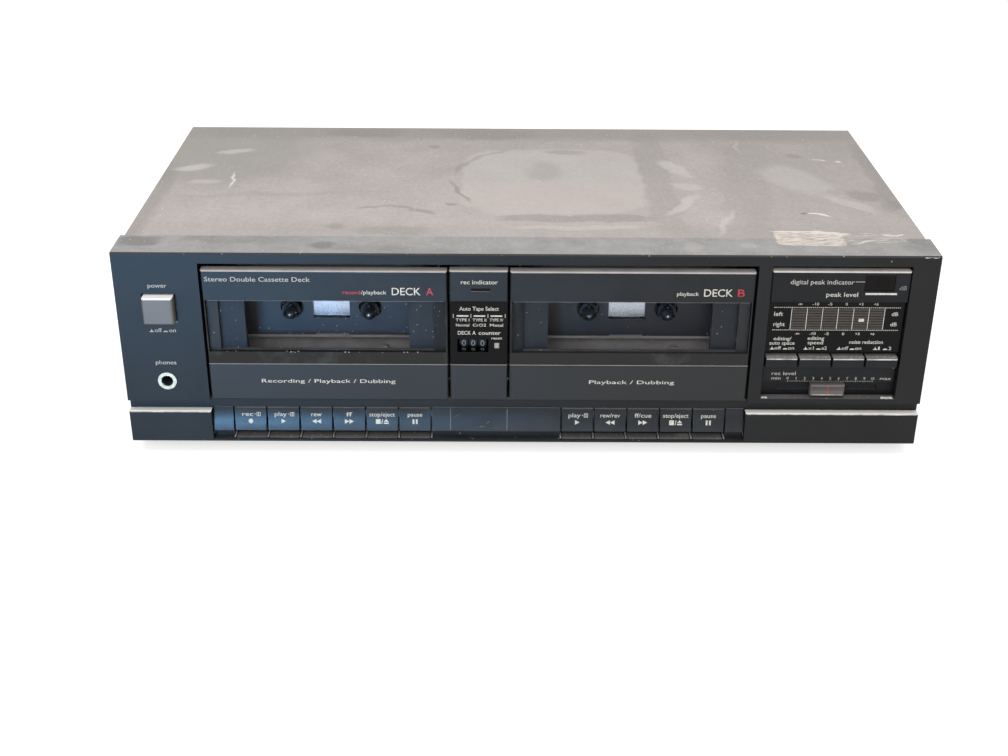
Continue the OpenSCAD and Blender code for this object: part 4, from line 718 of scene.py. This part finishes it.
def grown(name, tree, body, sizes, points=()):
    """A piece that a rule makes from its sizes, as one plain mesh that rides on its body."""
    seed_mesh = bpy.data.meshes.new(name)
    seed_mesh.from_pydata([tuple(p) for p in points], [], [])
    piece = bpy.data.objects.new(name, seed_mesh)
    link(piece)
    modifier = piece.modifiers.new("rule", "NODES")
    modifier.node_group = tree
    for label, value in sizes.items():
        modifier[tree.interface.items_tree[label].identifier] = value
    grown_mesh = bpy.data.meshes.new_from_object(piece.evaluated_get(bpy.context.evaluated_depsgraph_get()))
    piece.modifiers.clear()
    piece.data = grown_mesh
    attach(piece, body)


# The rule for printed bars in even rows: counts, pitches and bar sizes, with taller bars at a set step.
tree, given = rule("rows of bars", {
    "Across": "Int", "Up": "Int", "Pitch across": "Float", "Pitch up": "Float", "Bar width": "Float",
    "Bar height": "Float", "Tall step": "Int", "Tall share": "Float", "Start": "Vector", "Ink": "Material"})
step_across = add(tree, "CombineXYZ", {"X": given["Pitch across"]})
step_up = add(tree, "CombineXYZ", {"Z": given["Pitch up"]})
across = add(tree, "GeometryNodeMeshLine", [given["Across"], given["Start"], step_across])
up = add(tree, "GeometryNodeMeshLine", {"Count": given["Up"], "Offset": step_up})
quad = add(tree, "GeometryNodeMeshGrid", [given["Bar width"], given["Bar height"], 2, 2])
facing = add(tree, "GeometryNodeTransform", {"Geometry": quad, "Rotation": (math.pi / 2, 0, 0)})
column = add(tree, "GeometryNodeInstanceOnPoints", {"Points": up, "Instance": facing})
left_over = add(tree, "Math", [add(tree, "GeometryNodeInputIndex"), given["Tall step"]], "MODULO")
short = add(tree, "Math", [left_over, 0.5], "GREATER_THAN")
share = add(tree, "MapRange", [short, 0, 1, given["Tall share"], 1])
size = add(tree, "CombineXYZ", [1, 1, share])
rows = add(tree, "GeometryNodeInstanceOnPoints", {"Points": across, "Instance": column, "Scale": size})
bar_rule = close_rule(tree, rows, given["Ink"])


def bars(name, ink, across, up, start, pitch, size, tall=(1, 1.0)):
    """Rows of printed bars, in panel millimetres."""
    grown(name, bar_rule, "cabinet", {
        "Across": across, "Up": up, "Pitch across": pitch[0] / 1000, "Pitch up": pitch[1] / 1000,
        "Bar width": size[0] / 1000, "Bar height": size[1] / 1000, "Tall step": tall[0], "Tall share": tall[1],
        "Start": tuple(at(*start)), "Ink": ink})


brown_ink = ink("Brown-grey screen ink", "#332e2a", "#403a36", 0.5, cloud=3)
inked_y = display_y - film
bars("display_cells", brown_ink, 6, 8, (144.7, inked_y, 69.2), (8.2, 1.52), (7.4, 1.15))
bars("display_dividers", white_ink, 7, 1, (140.6, inked_y, 74.5), (8.2, 0), (0.35, 12.2))
for name, z in (("upper", 81.1), ("lower", 68)):
    bars(f"display_dots_{name}", white_ink, 66, 1, (131.5, inked_y, z), (1.02, 0), (0.62, 0.4))
printed("display_lit", "cabinet", white_ink, face=inked_y, marks=[bar(176.5, 179.4, 73, 74.7)])
dim_red = ink("Unlit red segments", "#140809", "#1a0b0c", 0.5, cloud=2, gloss=0.1)
printed("readout_figures", "cabinet", dim_red, face=readout_y, words=[("88", 186.2, 94, 5, 7.2)])

# Buttons and slider: ABS caps in the recess, the four buttons side by side and the level knob on a
# slot below a printed scale.
button_abs = moulded("Sparked black ABS, button", "#121417", "#1c1e21", 0.44, grain=1.0, cloud=30, dust=0.3,
                     specks=0.4, gloss=0.22)
buttons = {"editing": 129.4, "speed": 147.3, "noise": 165.2, "type": 183.1}
for name in buttons:
    softened(f"button_{name}", 0.4, button_abs, f"{name}_button")
    low, high = (1000 * Vector(corner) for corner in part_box(f"button_{name}"))
    top = high.z - foot_z
    # A pale line just under the top of each button's front is a painted highlight of its top edge.
    printed(f"button_{name}_edge", f"{name}_button", worn_and_highlight,
            marks=[bar(low.x + 0.4, high.x - 0.4, top - 1.1, top - 0.4)])
dress(moulded("Satin grey ABS, knob", "#585352", "#686261", 0.42, grain=1.0), "level_knob")
printed("knob_edge", "level", worn_and_highlight, marks=[bar(155.6, 172, 30.45, 30.9)])
# A raised strip carries the scale, and felt closes the slot round the knob's stem.
scale_y = 3.8
slab("scale_strip", bezel_abs, (128.6, 199.9), (scale_y, 5.2), (36.7, 46), 0.2)
felt = moulded("Black wool felt", "#0b0d11", "#12151a", 0.95, grain=0.5, cloud=2, bump=0.5)
slab("slot_felt", felt, (137.5, 191.1), (5.9, 6.4), (31.7, 34.3), 0.05)
printed("level_line", "level", red_ink, marks=[bar(163.6, 164.1, 30.6, 35.5)])
printed("slider_words", "cabinet", faded_ink, face=scale_y,
        words=[("rec level", 140, 40.7, 2, 13), ("min", 136.1, 38, 1.7, 5), ("max", 195.5, 38, 1.7, 6)]
        + [(str(i), 142.4 + 4.62 * i, 38, 1.5, {1: 0.3, 10: 1.6}.get(i, 1)) for i in range(11)])
bars("slider_ticks", faded_ink, 51, 1, (142.5, scale_y - film, 37.05), (0.924, 0), (0.3, 0.4),
     tall=(5, 1.6))

# Power button and phones: a satin grey cap that stands out of the panel, and a socket with a bright
# nickel ring and a dark rubber liner.
power_abs = moulded("Satin grey ABS, power", "#625e5a", "#706b66", 0.42, grain=1.0, dust=1.4, dusty="#ffffff")
softened("power_button", 0.3, power_abs, "power")
dress(moulded("Moulded grey nylon", "#45484c", "#53565a", 0.5), "power_switch")
dress(sheet_metal("Nickel-plated brass", "#b5ab97", "#cdc4af", 0.42, 3, metallic=0.6), "headphone_jack")
phones_x, phones_z, bore, lining, sides = -192.3, 37.6, 3.18, 2.95, 32
bm = bmesh.new()
loops = [[bm.verts.new(at(x, y, z)) for x, z in ring(phones_x, phones_z, r, sides)]
         for r, y in ((bore, 0.3), (lining, 0.3), (lining, 17.2), (bore, 17.2))]
for near, far in zip(loops, loops[1:] + loops[:1]):
    for i in range(sides):
        bm.faces.new((near[i], near[i - 1], far[i - 1], far[i]))
bm.faces.new(loops[3][::-1])
bmesh.ops.recalc_face_normals(bm, faces=bm.faces)
made("phones_liner", bm, rubber, "cabinet")

# Back: four phono sockets on a black block, each with a nickel sleeve round an insert that is white for
# the left channel and red for the right, and a two-pin mains inlet. The words are screen printed.
socket_set = moulded("Moulded phenolic with nickel sleeves", "#1a1a1b", "#232324", 0.4)
tree, shader, here = opened(socket_set)
socket_reach, insert_radius = 0.0075, 0.0033
offset = add(tree, "VectorMath", [here, at(107, 218.1, 46)], "SUBTRACT")
part = add(tree, "SeparateXYZ", [offset]).outputs
legs = []
for axis in ("X", "Z"):
    side = add(tree, "Math", [part[axis]], "ABSOLUTE")
    leg = add(tree, "Math", [side, socket_reach], "SUBTRACT")
    legs.append(add(tree, "Math", [leg, 2], "POWER"))
reach = add(tree, "Math", legs, "ADD")
out = add(tree, "Math", [part["Y"], 0], "GREATER_THAN")
inner = add(tree, "Math", [reach, insert_radius ** 2], "LESS_THAN")
upper = add(tree, "Math", [part["Z"], 0], "GREATER_THAN")
insert = add(tree, "Mix", [upper, tint("#a3202a"), tint("#dcdad3")], "RGBA")
coat(socket_set, out, add(tree, "Mix", [inner, tint("#c8c3b6"), insert], "RGBA"))
feed(tree, shader, {"Metallic": add(tree, "Math", [out, inner], "SUBTRACT", use_clamp=True)})
dress(socket_set, "line_jacks")
rear_y = 217.0
printed("rear_words", "cabinet", white_ink, side=-1, face=rear_y,
        words=[("line out", 114.5, 61.5, 2.4, 9.4), ("line in", 99.5, 61.5, 2.4, 7.6), ("L", 125.5, 52.3, 2.6, 1.5),
               ("R", 125.5, 37.3, 2.6, 1.8), ("AC in", -165, 28.5, 2.8, 8.6)])
dress(moulded("Moulded black nylon", "#121213", "#19191a", 0.5), "mains_inlet")

# Cover: folded steel sheet in grey paint, screwed to the chassis sides. A film of pale dust lies on
# its top, wiped away in strokes and in a wide oval where something stood, and its front edge is scuffed.
cover_paint = bpy.data.materials.new("Dusty grey paint on steel")
tree, shader, here = opened(cover_paint)
# Drifts of about 30 mm, thinner towards the back, and a fine speckle drawn at 2 mm so that it shows.
drifts = add(tree, "TexNoise", [here, 1000 / 30, 8, 0.62])
dust = add(tree, "MapRange", [drifts, 0.25, 0.75, 0.5, 0.8])
speckle = add(tree, "TexNoise", [here, 1000 / 2, 3])
grainy = add(tree, "MapRange", [speckle, 0.3, 0.7, -0.1, 0.1])
depth = add(tree, "SeparateXYZ", [here]).outputs["Y"]
slope = add(tree, "MapRange", [depth, -0.09, 0.106, 0.08, -0.22])
for part in (grainy, slope):
    dust = add(tree, "Math", [dust, part], "ADD", use_clamp=True)
lying = add(tree, "MapRange", [upward(tree), 0.3, 0.9, 0.12, dust])
fine = add(tree, "TexNoise", [here, 1000 / 0.9, 2])
feed(tree, shader, {
    "Base Color": add(tree, "Mix", [lying, tint("#8d8884"), tint("#d4ccc8")], "RGBA"),
    "Roughness": add(tree, "MapRange", [lying, 0, 1, 0.42, 0.8]),
    "Normal": add(tree, "Bump", {"Height": fine, "Strength": 0.15, "Distance": 0.0001})})
bare, dim, thick, rosy, white = "#85817b", "#98978f", "#dcd8d2", "#d8c0ba", "#f4f1ec"
marked(cover_paint, [
    # Thin dust along the front, the back and the two ends
    (bare, 0.16, 0, 25, 240, 18, 0, 0.5, 0.8),
    (bare, 0.4, 0, 214, 240, 20, 0, 0.5, 0.8), (bare, 0.4, -100, 207, 24, 9, 0, 0.3),
    (bare, 0.3, -20, 204, 30, 11, 0, 0.3), (dim, 0.5, -188, 165, 52, 56, 25, 0.2, 0.35),
    (bare, 0.35, -214, 75, 9, 60, 0, 0.5, 0.7), (bare, 0.35, 212, 130, 7, 60, 0, 0.5, 0.6),
    # Left: pale smears, a scratch and dark strokes
    (thick, 0.6, -198, 137, 11, 5, 25, 0, 0.5), (thick, 0.5, -177, 167, 11, 3, 15, 0, 0.5),
    (thick, 0.4, -186, 111, 8, 4, 10, 0, 0.5), (white, 0.7, -171, 114, 0.9, 13, -3),
    (bare, 0.16, -145, 91, 52, 3.5, 4, 0, 0.6), (bare, 0.4, -85, 71, 9, 1.4, 12),
    (bare, 0.4, -70, 70.5, 8, 1.4, -15), (bare, 0.45, -57, 63.5, 8, 2, -28),
    (bare, 0.5, -41, 75, 4, 2.5), (bare, 0.45, -55, 178, 3, 4),
    (bare, 0.3, -102, 40, 5, 4, 0, 0, 0.5), (bare, 0.25, -72, 34, 18, 7, -5, 0.3),
    # Middle: a thick film with a sharp edge, where something stood and was wiped round
    (thick, 0.3, 17, 117, 52, 56, 0, 0.55, 0.1), (rosy, 0.2, 20, 84, 46, 24, 0, 0.2, 0.8),
    (bare, 0.2, 79, 120, 9.5, 85, 0, 0.5, 0.5), (bare, 0.35, 28, 54.5, 42, 5, -2, 0.5, 0.35),
    (thick, 0.4, 29, 40, 34, 3, 1, 0.4), (bare, 0.35, -37, 139, 2, 10, -20, 0, 0.5),
    (bare, 0.35, -27.5, 156.5, 2, 11, -37, 0, 0.5), (bare, 0.35, -14, 169, 2, 8, -60, 0, 0.5),
    (bare, 0.5, -36.5, 96, 1.6, 18, 21.5), (bare, 0.26, 12.4, 133, 10, 17),
    (bare, 0.4, 26, 168, 13, 3.5),
    # Right: strokes of a cloth
    (thick, 0.45, 90.5, 139, 6, 16, 25, 0, 0.3), (thick, 0.4, 96, 107, 9, 5, -20, 0, 0.3),
    (thick, 0.5, 90.5, 77, 3.5, 19, -29, 0, 0.3), (thick, 0.55, 110, 51, 2, 19, -15.5),
    (thick, 0.4, 135.5, 181, 1.6, 12, -3, 0, 0.5), (bare, 0.1, 133, 125, 13, 82, -8, 0.5, 0.5),
    (bare, 0.14, 168, 112, 52, 110, 0, 0.6, 0.5),
    (thick, 0.3, 160, 121, 15, 25, 30, 0.2, 0.35), (thick, 0.4, 184, 79, 4.5, 18, 41),
    (bare, 0.4, 196, 92, 11, 8, -30, 0, 0.35), (bare, 0.4, 206, 75, 6, 10),
    (bare, 0.4, 169, 164, 7, 3.5, -35), (white, 0.8, 183, 156, 3.5, 1, -25),
    (white, 0.8, 194.5, 152, 1.8, 1.8), (white, 0.9, 162.5, 61, 5.5, 1.3, -25),
    ("#6c6862", 0.6, 156, 63.5, 2.5, 1.3)])
scratch_through(cover_paint)
linted(cover_paint, 5, 0.55)
# The sheet bends round its top edges at the sides and the back with a small radius.
bm = merged("top_cover")
low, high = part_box("top_cover")
near, fold_radius = 1e-5, 0.0009
folds = [e for e in bm.edges if all(v.co.z > high[2] - near for v in e.verts)
         and (all(v.co.y > high[1] - near for v in e.verts) or all(v.co.x > high[0] - near for v in e.verts)
              or all(v.co.x < low[0] + near for v in e.verts))]
bmesh.ops.bevel(bm, geom=folds, offset=fold_radius, segments=4, profile=0.5, affect="EDGES")
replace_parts(made("cover_folded", bm, cover_paint, "cabinet"), "top_cover")

# Screws: pan heads in black oxide, four at the sides and four at the back, each with a cross recess that stands at
# its own angle. Each recess is drawn as a thin near-black cross on the head: painted shade.
dress(sheet_metal("Black oxide screws", "#1c1c1e", "#2a2a2c", 0.4, 2), "screws")
# The rule that sets a cross of two thin blocks on each point, faced one way and turned by its own angle.
tree, given = rule("cross recess", {"Arm length": "Float", "Arm width": "Float", "Depth": "Float",
                                    "Facing": "Rotation", "Seed": "Int", "Finish": "Material"})
arms = []
for one, two in (("Arm length", "Arm width"), ("Arm width", "Arm length")):
    size = add(tree, "CombineXYZ", [given[one], given[two], given["Depth"]])
    arms.append(add(tree, "GeometryNodeMeshCube", [size]))
cross = add(tree, "GeometryNodeJoinGeometry", {"Geometry": arms})
placed = add(tree, "GeometryNodeInstanceOnPoints", {"Points": given["Geometry"], "Instance": cross,
                                                    "Rotation": given["Facing"]})
angle = add(tree, "FunctionNodeRandomValue", [0, 2 * math.pi, None, given["Seed"]])
spin = add(tree, "CombineXYZ", {"Z": angle})
turned = add(tree, "GeometryNodeRotateInstances", {"Instances": placed, "Rotation": spin})
cross_rule = close_rule(tree, turned, given["Finish"])
shadow_black = moulded("Oxide in shadow", "#050506", "#0a0a0b", 0.7)
for name, points, facing in (
        ("back", [at(s * 200.3, 218.4, z) for s in (-1, 1) for z in (13, 96.1)], (math.pi / 2, 0, 0)),
        ("left", [at(-214.9, y, 10) for y in (62, 178)], (0, math.pi / 2, 0)),
        ("right", [at(214.9, y, 10) for y in (62, 178)], (0, math.pi / 2, 0))):
    grown(f"screw_recess_shade_{name}", cross_rule, "cabinet",
          {"Arm length": 0.0042, "Arm width": 0.0009, "Depth": 0.0001, "Facing": facing, "Seed": 7,
           "Finish": shadow_black}, points)

# Dust: crumbs of plaster and lint that lie where the deck stood, on the cover, on the windows and in the
# corners of the recess. Each is a dull pale grain under half a millimetre, nearly white.
plaster = moulded("Plaster dust", "#d9d6d0", "#f1efea", 0.9, grain=0.3, cloud=1)
# The rule that scatters grains between two corners, each with its own size and turn.
tree, given = rule("crumbs", {
    "Count": "Int", "Low corner": "Vector", "High corner": "Vector", "Least radius": "Float", "Most radius": "Float",
    "Seed": "Int", "Finish": "Material"})
full_turn, grain_length = (6.28, 6.28, 6.28), 1.7
row = add(tree, "GeometryNodeMeshLine", {"Count": given["Count"]})
spread = add(tree, "FunctionNodeRandomValue", [given["Low corner"], given["High corner"], None, given["Seed"]],
             "FLOAT_VECTOR")
strewn = add(tree, "GeometryNodeSetPosition", {"Geometry": row, "Position": spread})
next_seed = add(tree, "Math", [given["Seed"], 1], "ADD")
size = add(tree, "FunctionNodeRandomValue", [given["Least radius"], given["Most radius"], None, next_seed])
turn = add(tree, "FunctionNodeRandomValue", [(0, 0, 0), full_turn, None, next_seed], "FLOAT_VECTOR")
long = add(tree, "Math", [size, grain_length], "MULTIPLY")
sizes = add(tree, "CombineXYZ", [long, size, size])
grain = add(tree, "GeometryNodeMeshIcoSphere", {"Radius": 1, "Subdivisions": 1})
placed = add(tree, "GeometryNodeInstanceOnPoints", {"Points": strewn, "Instance": grain, "Rotation": turn,
                                                    "Scale": sizes})
crumb_rule = close_rule(tree, placed, given["Finish"])
for name, body, slot, count, low, high, least, most in (
        ("cover_crumbs", "cabinet", "cover_paint", 220, (-205, 30, 110.95), (205, 205, 110.95), 0.16, 0.38),
        ("cover_crumbs_thick", "cabinet", "cover_paint", 34, (-86, 62, 110.95), (-58, 142, 110.95), 0.18, 0.38),
        ("window_a_crumbs", "deck_a_door", "clear_acrylic", 64, (-166, pane_y, 56), (-45, pane_y, 84), 0.06, 0.2),
        ("window_a_foot_crumbs", "deck_a_door", "clear_acrylic", 14, (-166, pane_y, 54.5), (-45, pane_y, 55.2),
         0.12, 0.3),
        ("window_b_crumbs", "deck_b_door", "clear_acrylic", 30, (-5, pane_y, 55), (116, pane_y, 84), 0.06, 0.18),
        ("recess_dust_right", "cabinet", "panel_plastic", 260, (193.5, 0.4, 28.1), (199.8, 2.6, 28.2), 0.08, 0.2),
        ("recess_dust_left", "cabinet", "panel_plastic", 120, (128.6, 0.4, 28.1), (131.6, 2.4, 28.2), 0.08, 0.2),
        ("scale_crumbs", "cabinet", "control_plastic", 2, (198.6, scale_y, 45.2), (199.2, scale_y, 45.8), 0.3, 0.4),
        *((f"button_{one}_crumbs", f"{one}_button", "control_plastic", 60, (x, 0.9, 52.8), (x + 16, 2.6, 52.8),
           0.05, 0.16) for one, x in buttons.items())):
    grown(name, crumb_rule, body, {
        "Count": count, "Low corner": tuple(at(*low)), "High corner": tuple(at(*high)), "Least radius": least / 1000,
        "Most radius": most / 1000, "Seed": 11, "Finish": plaster})

bpy.data.objects.remove(typist)
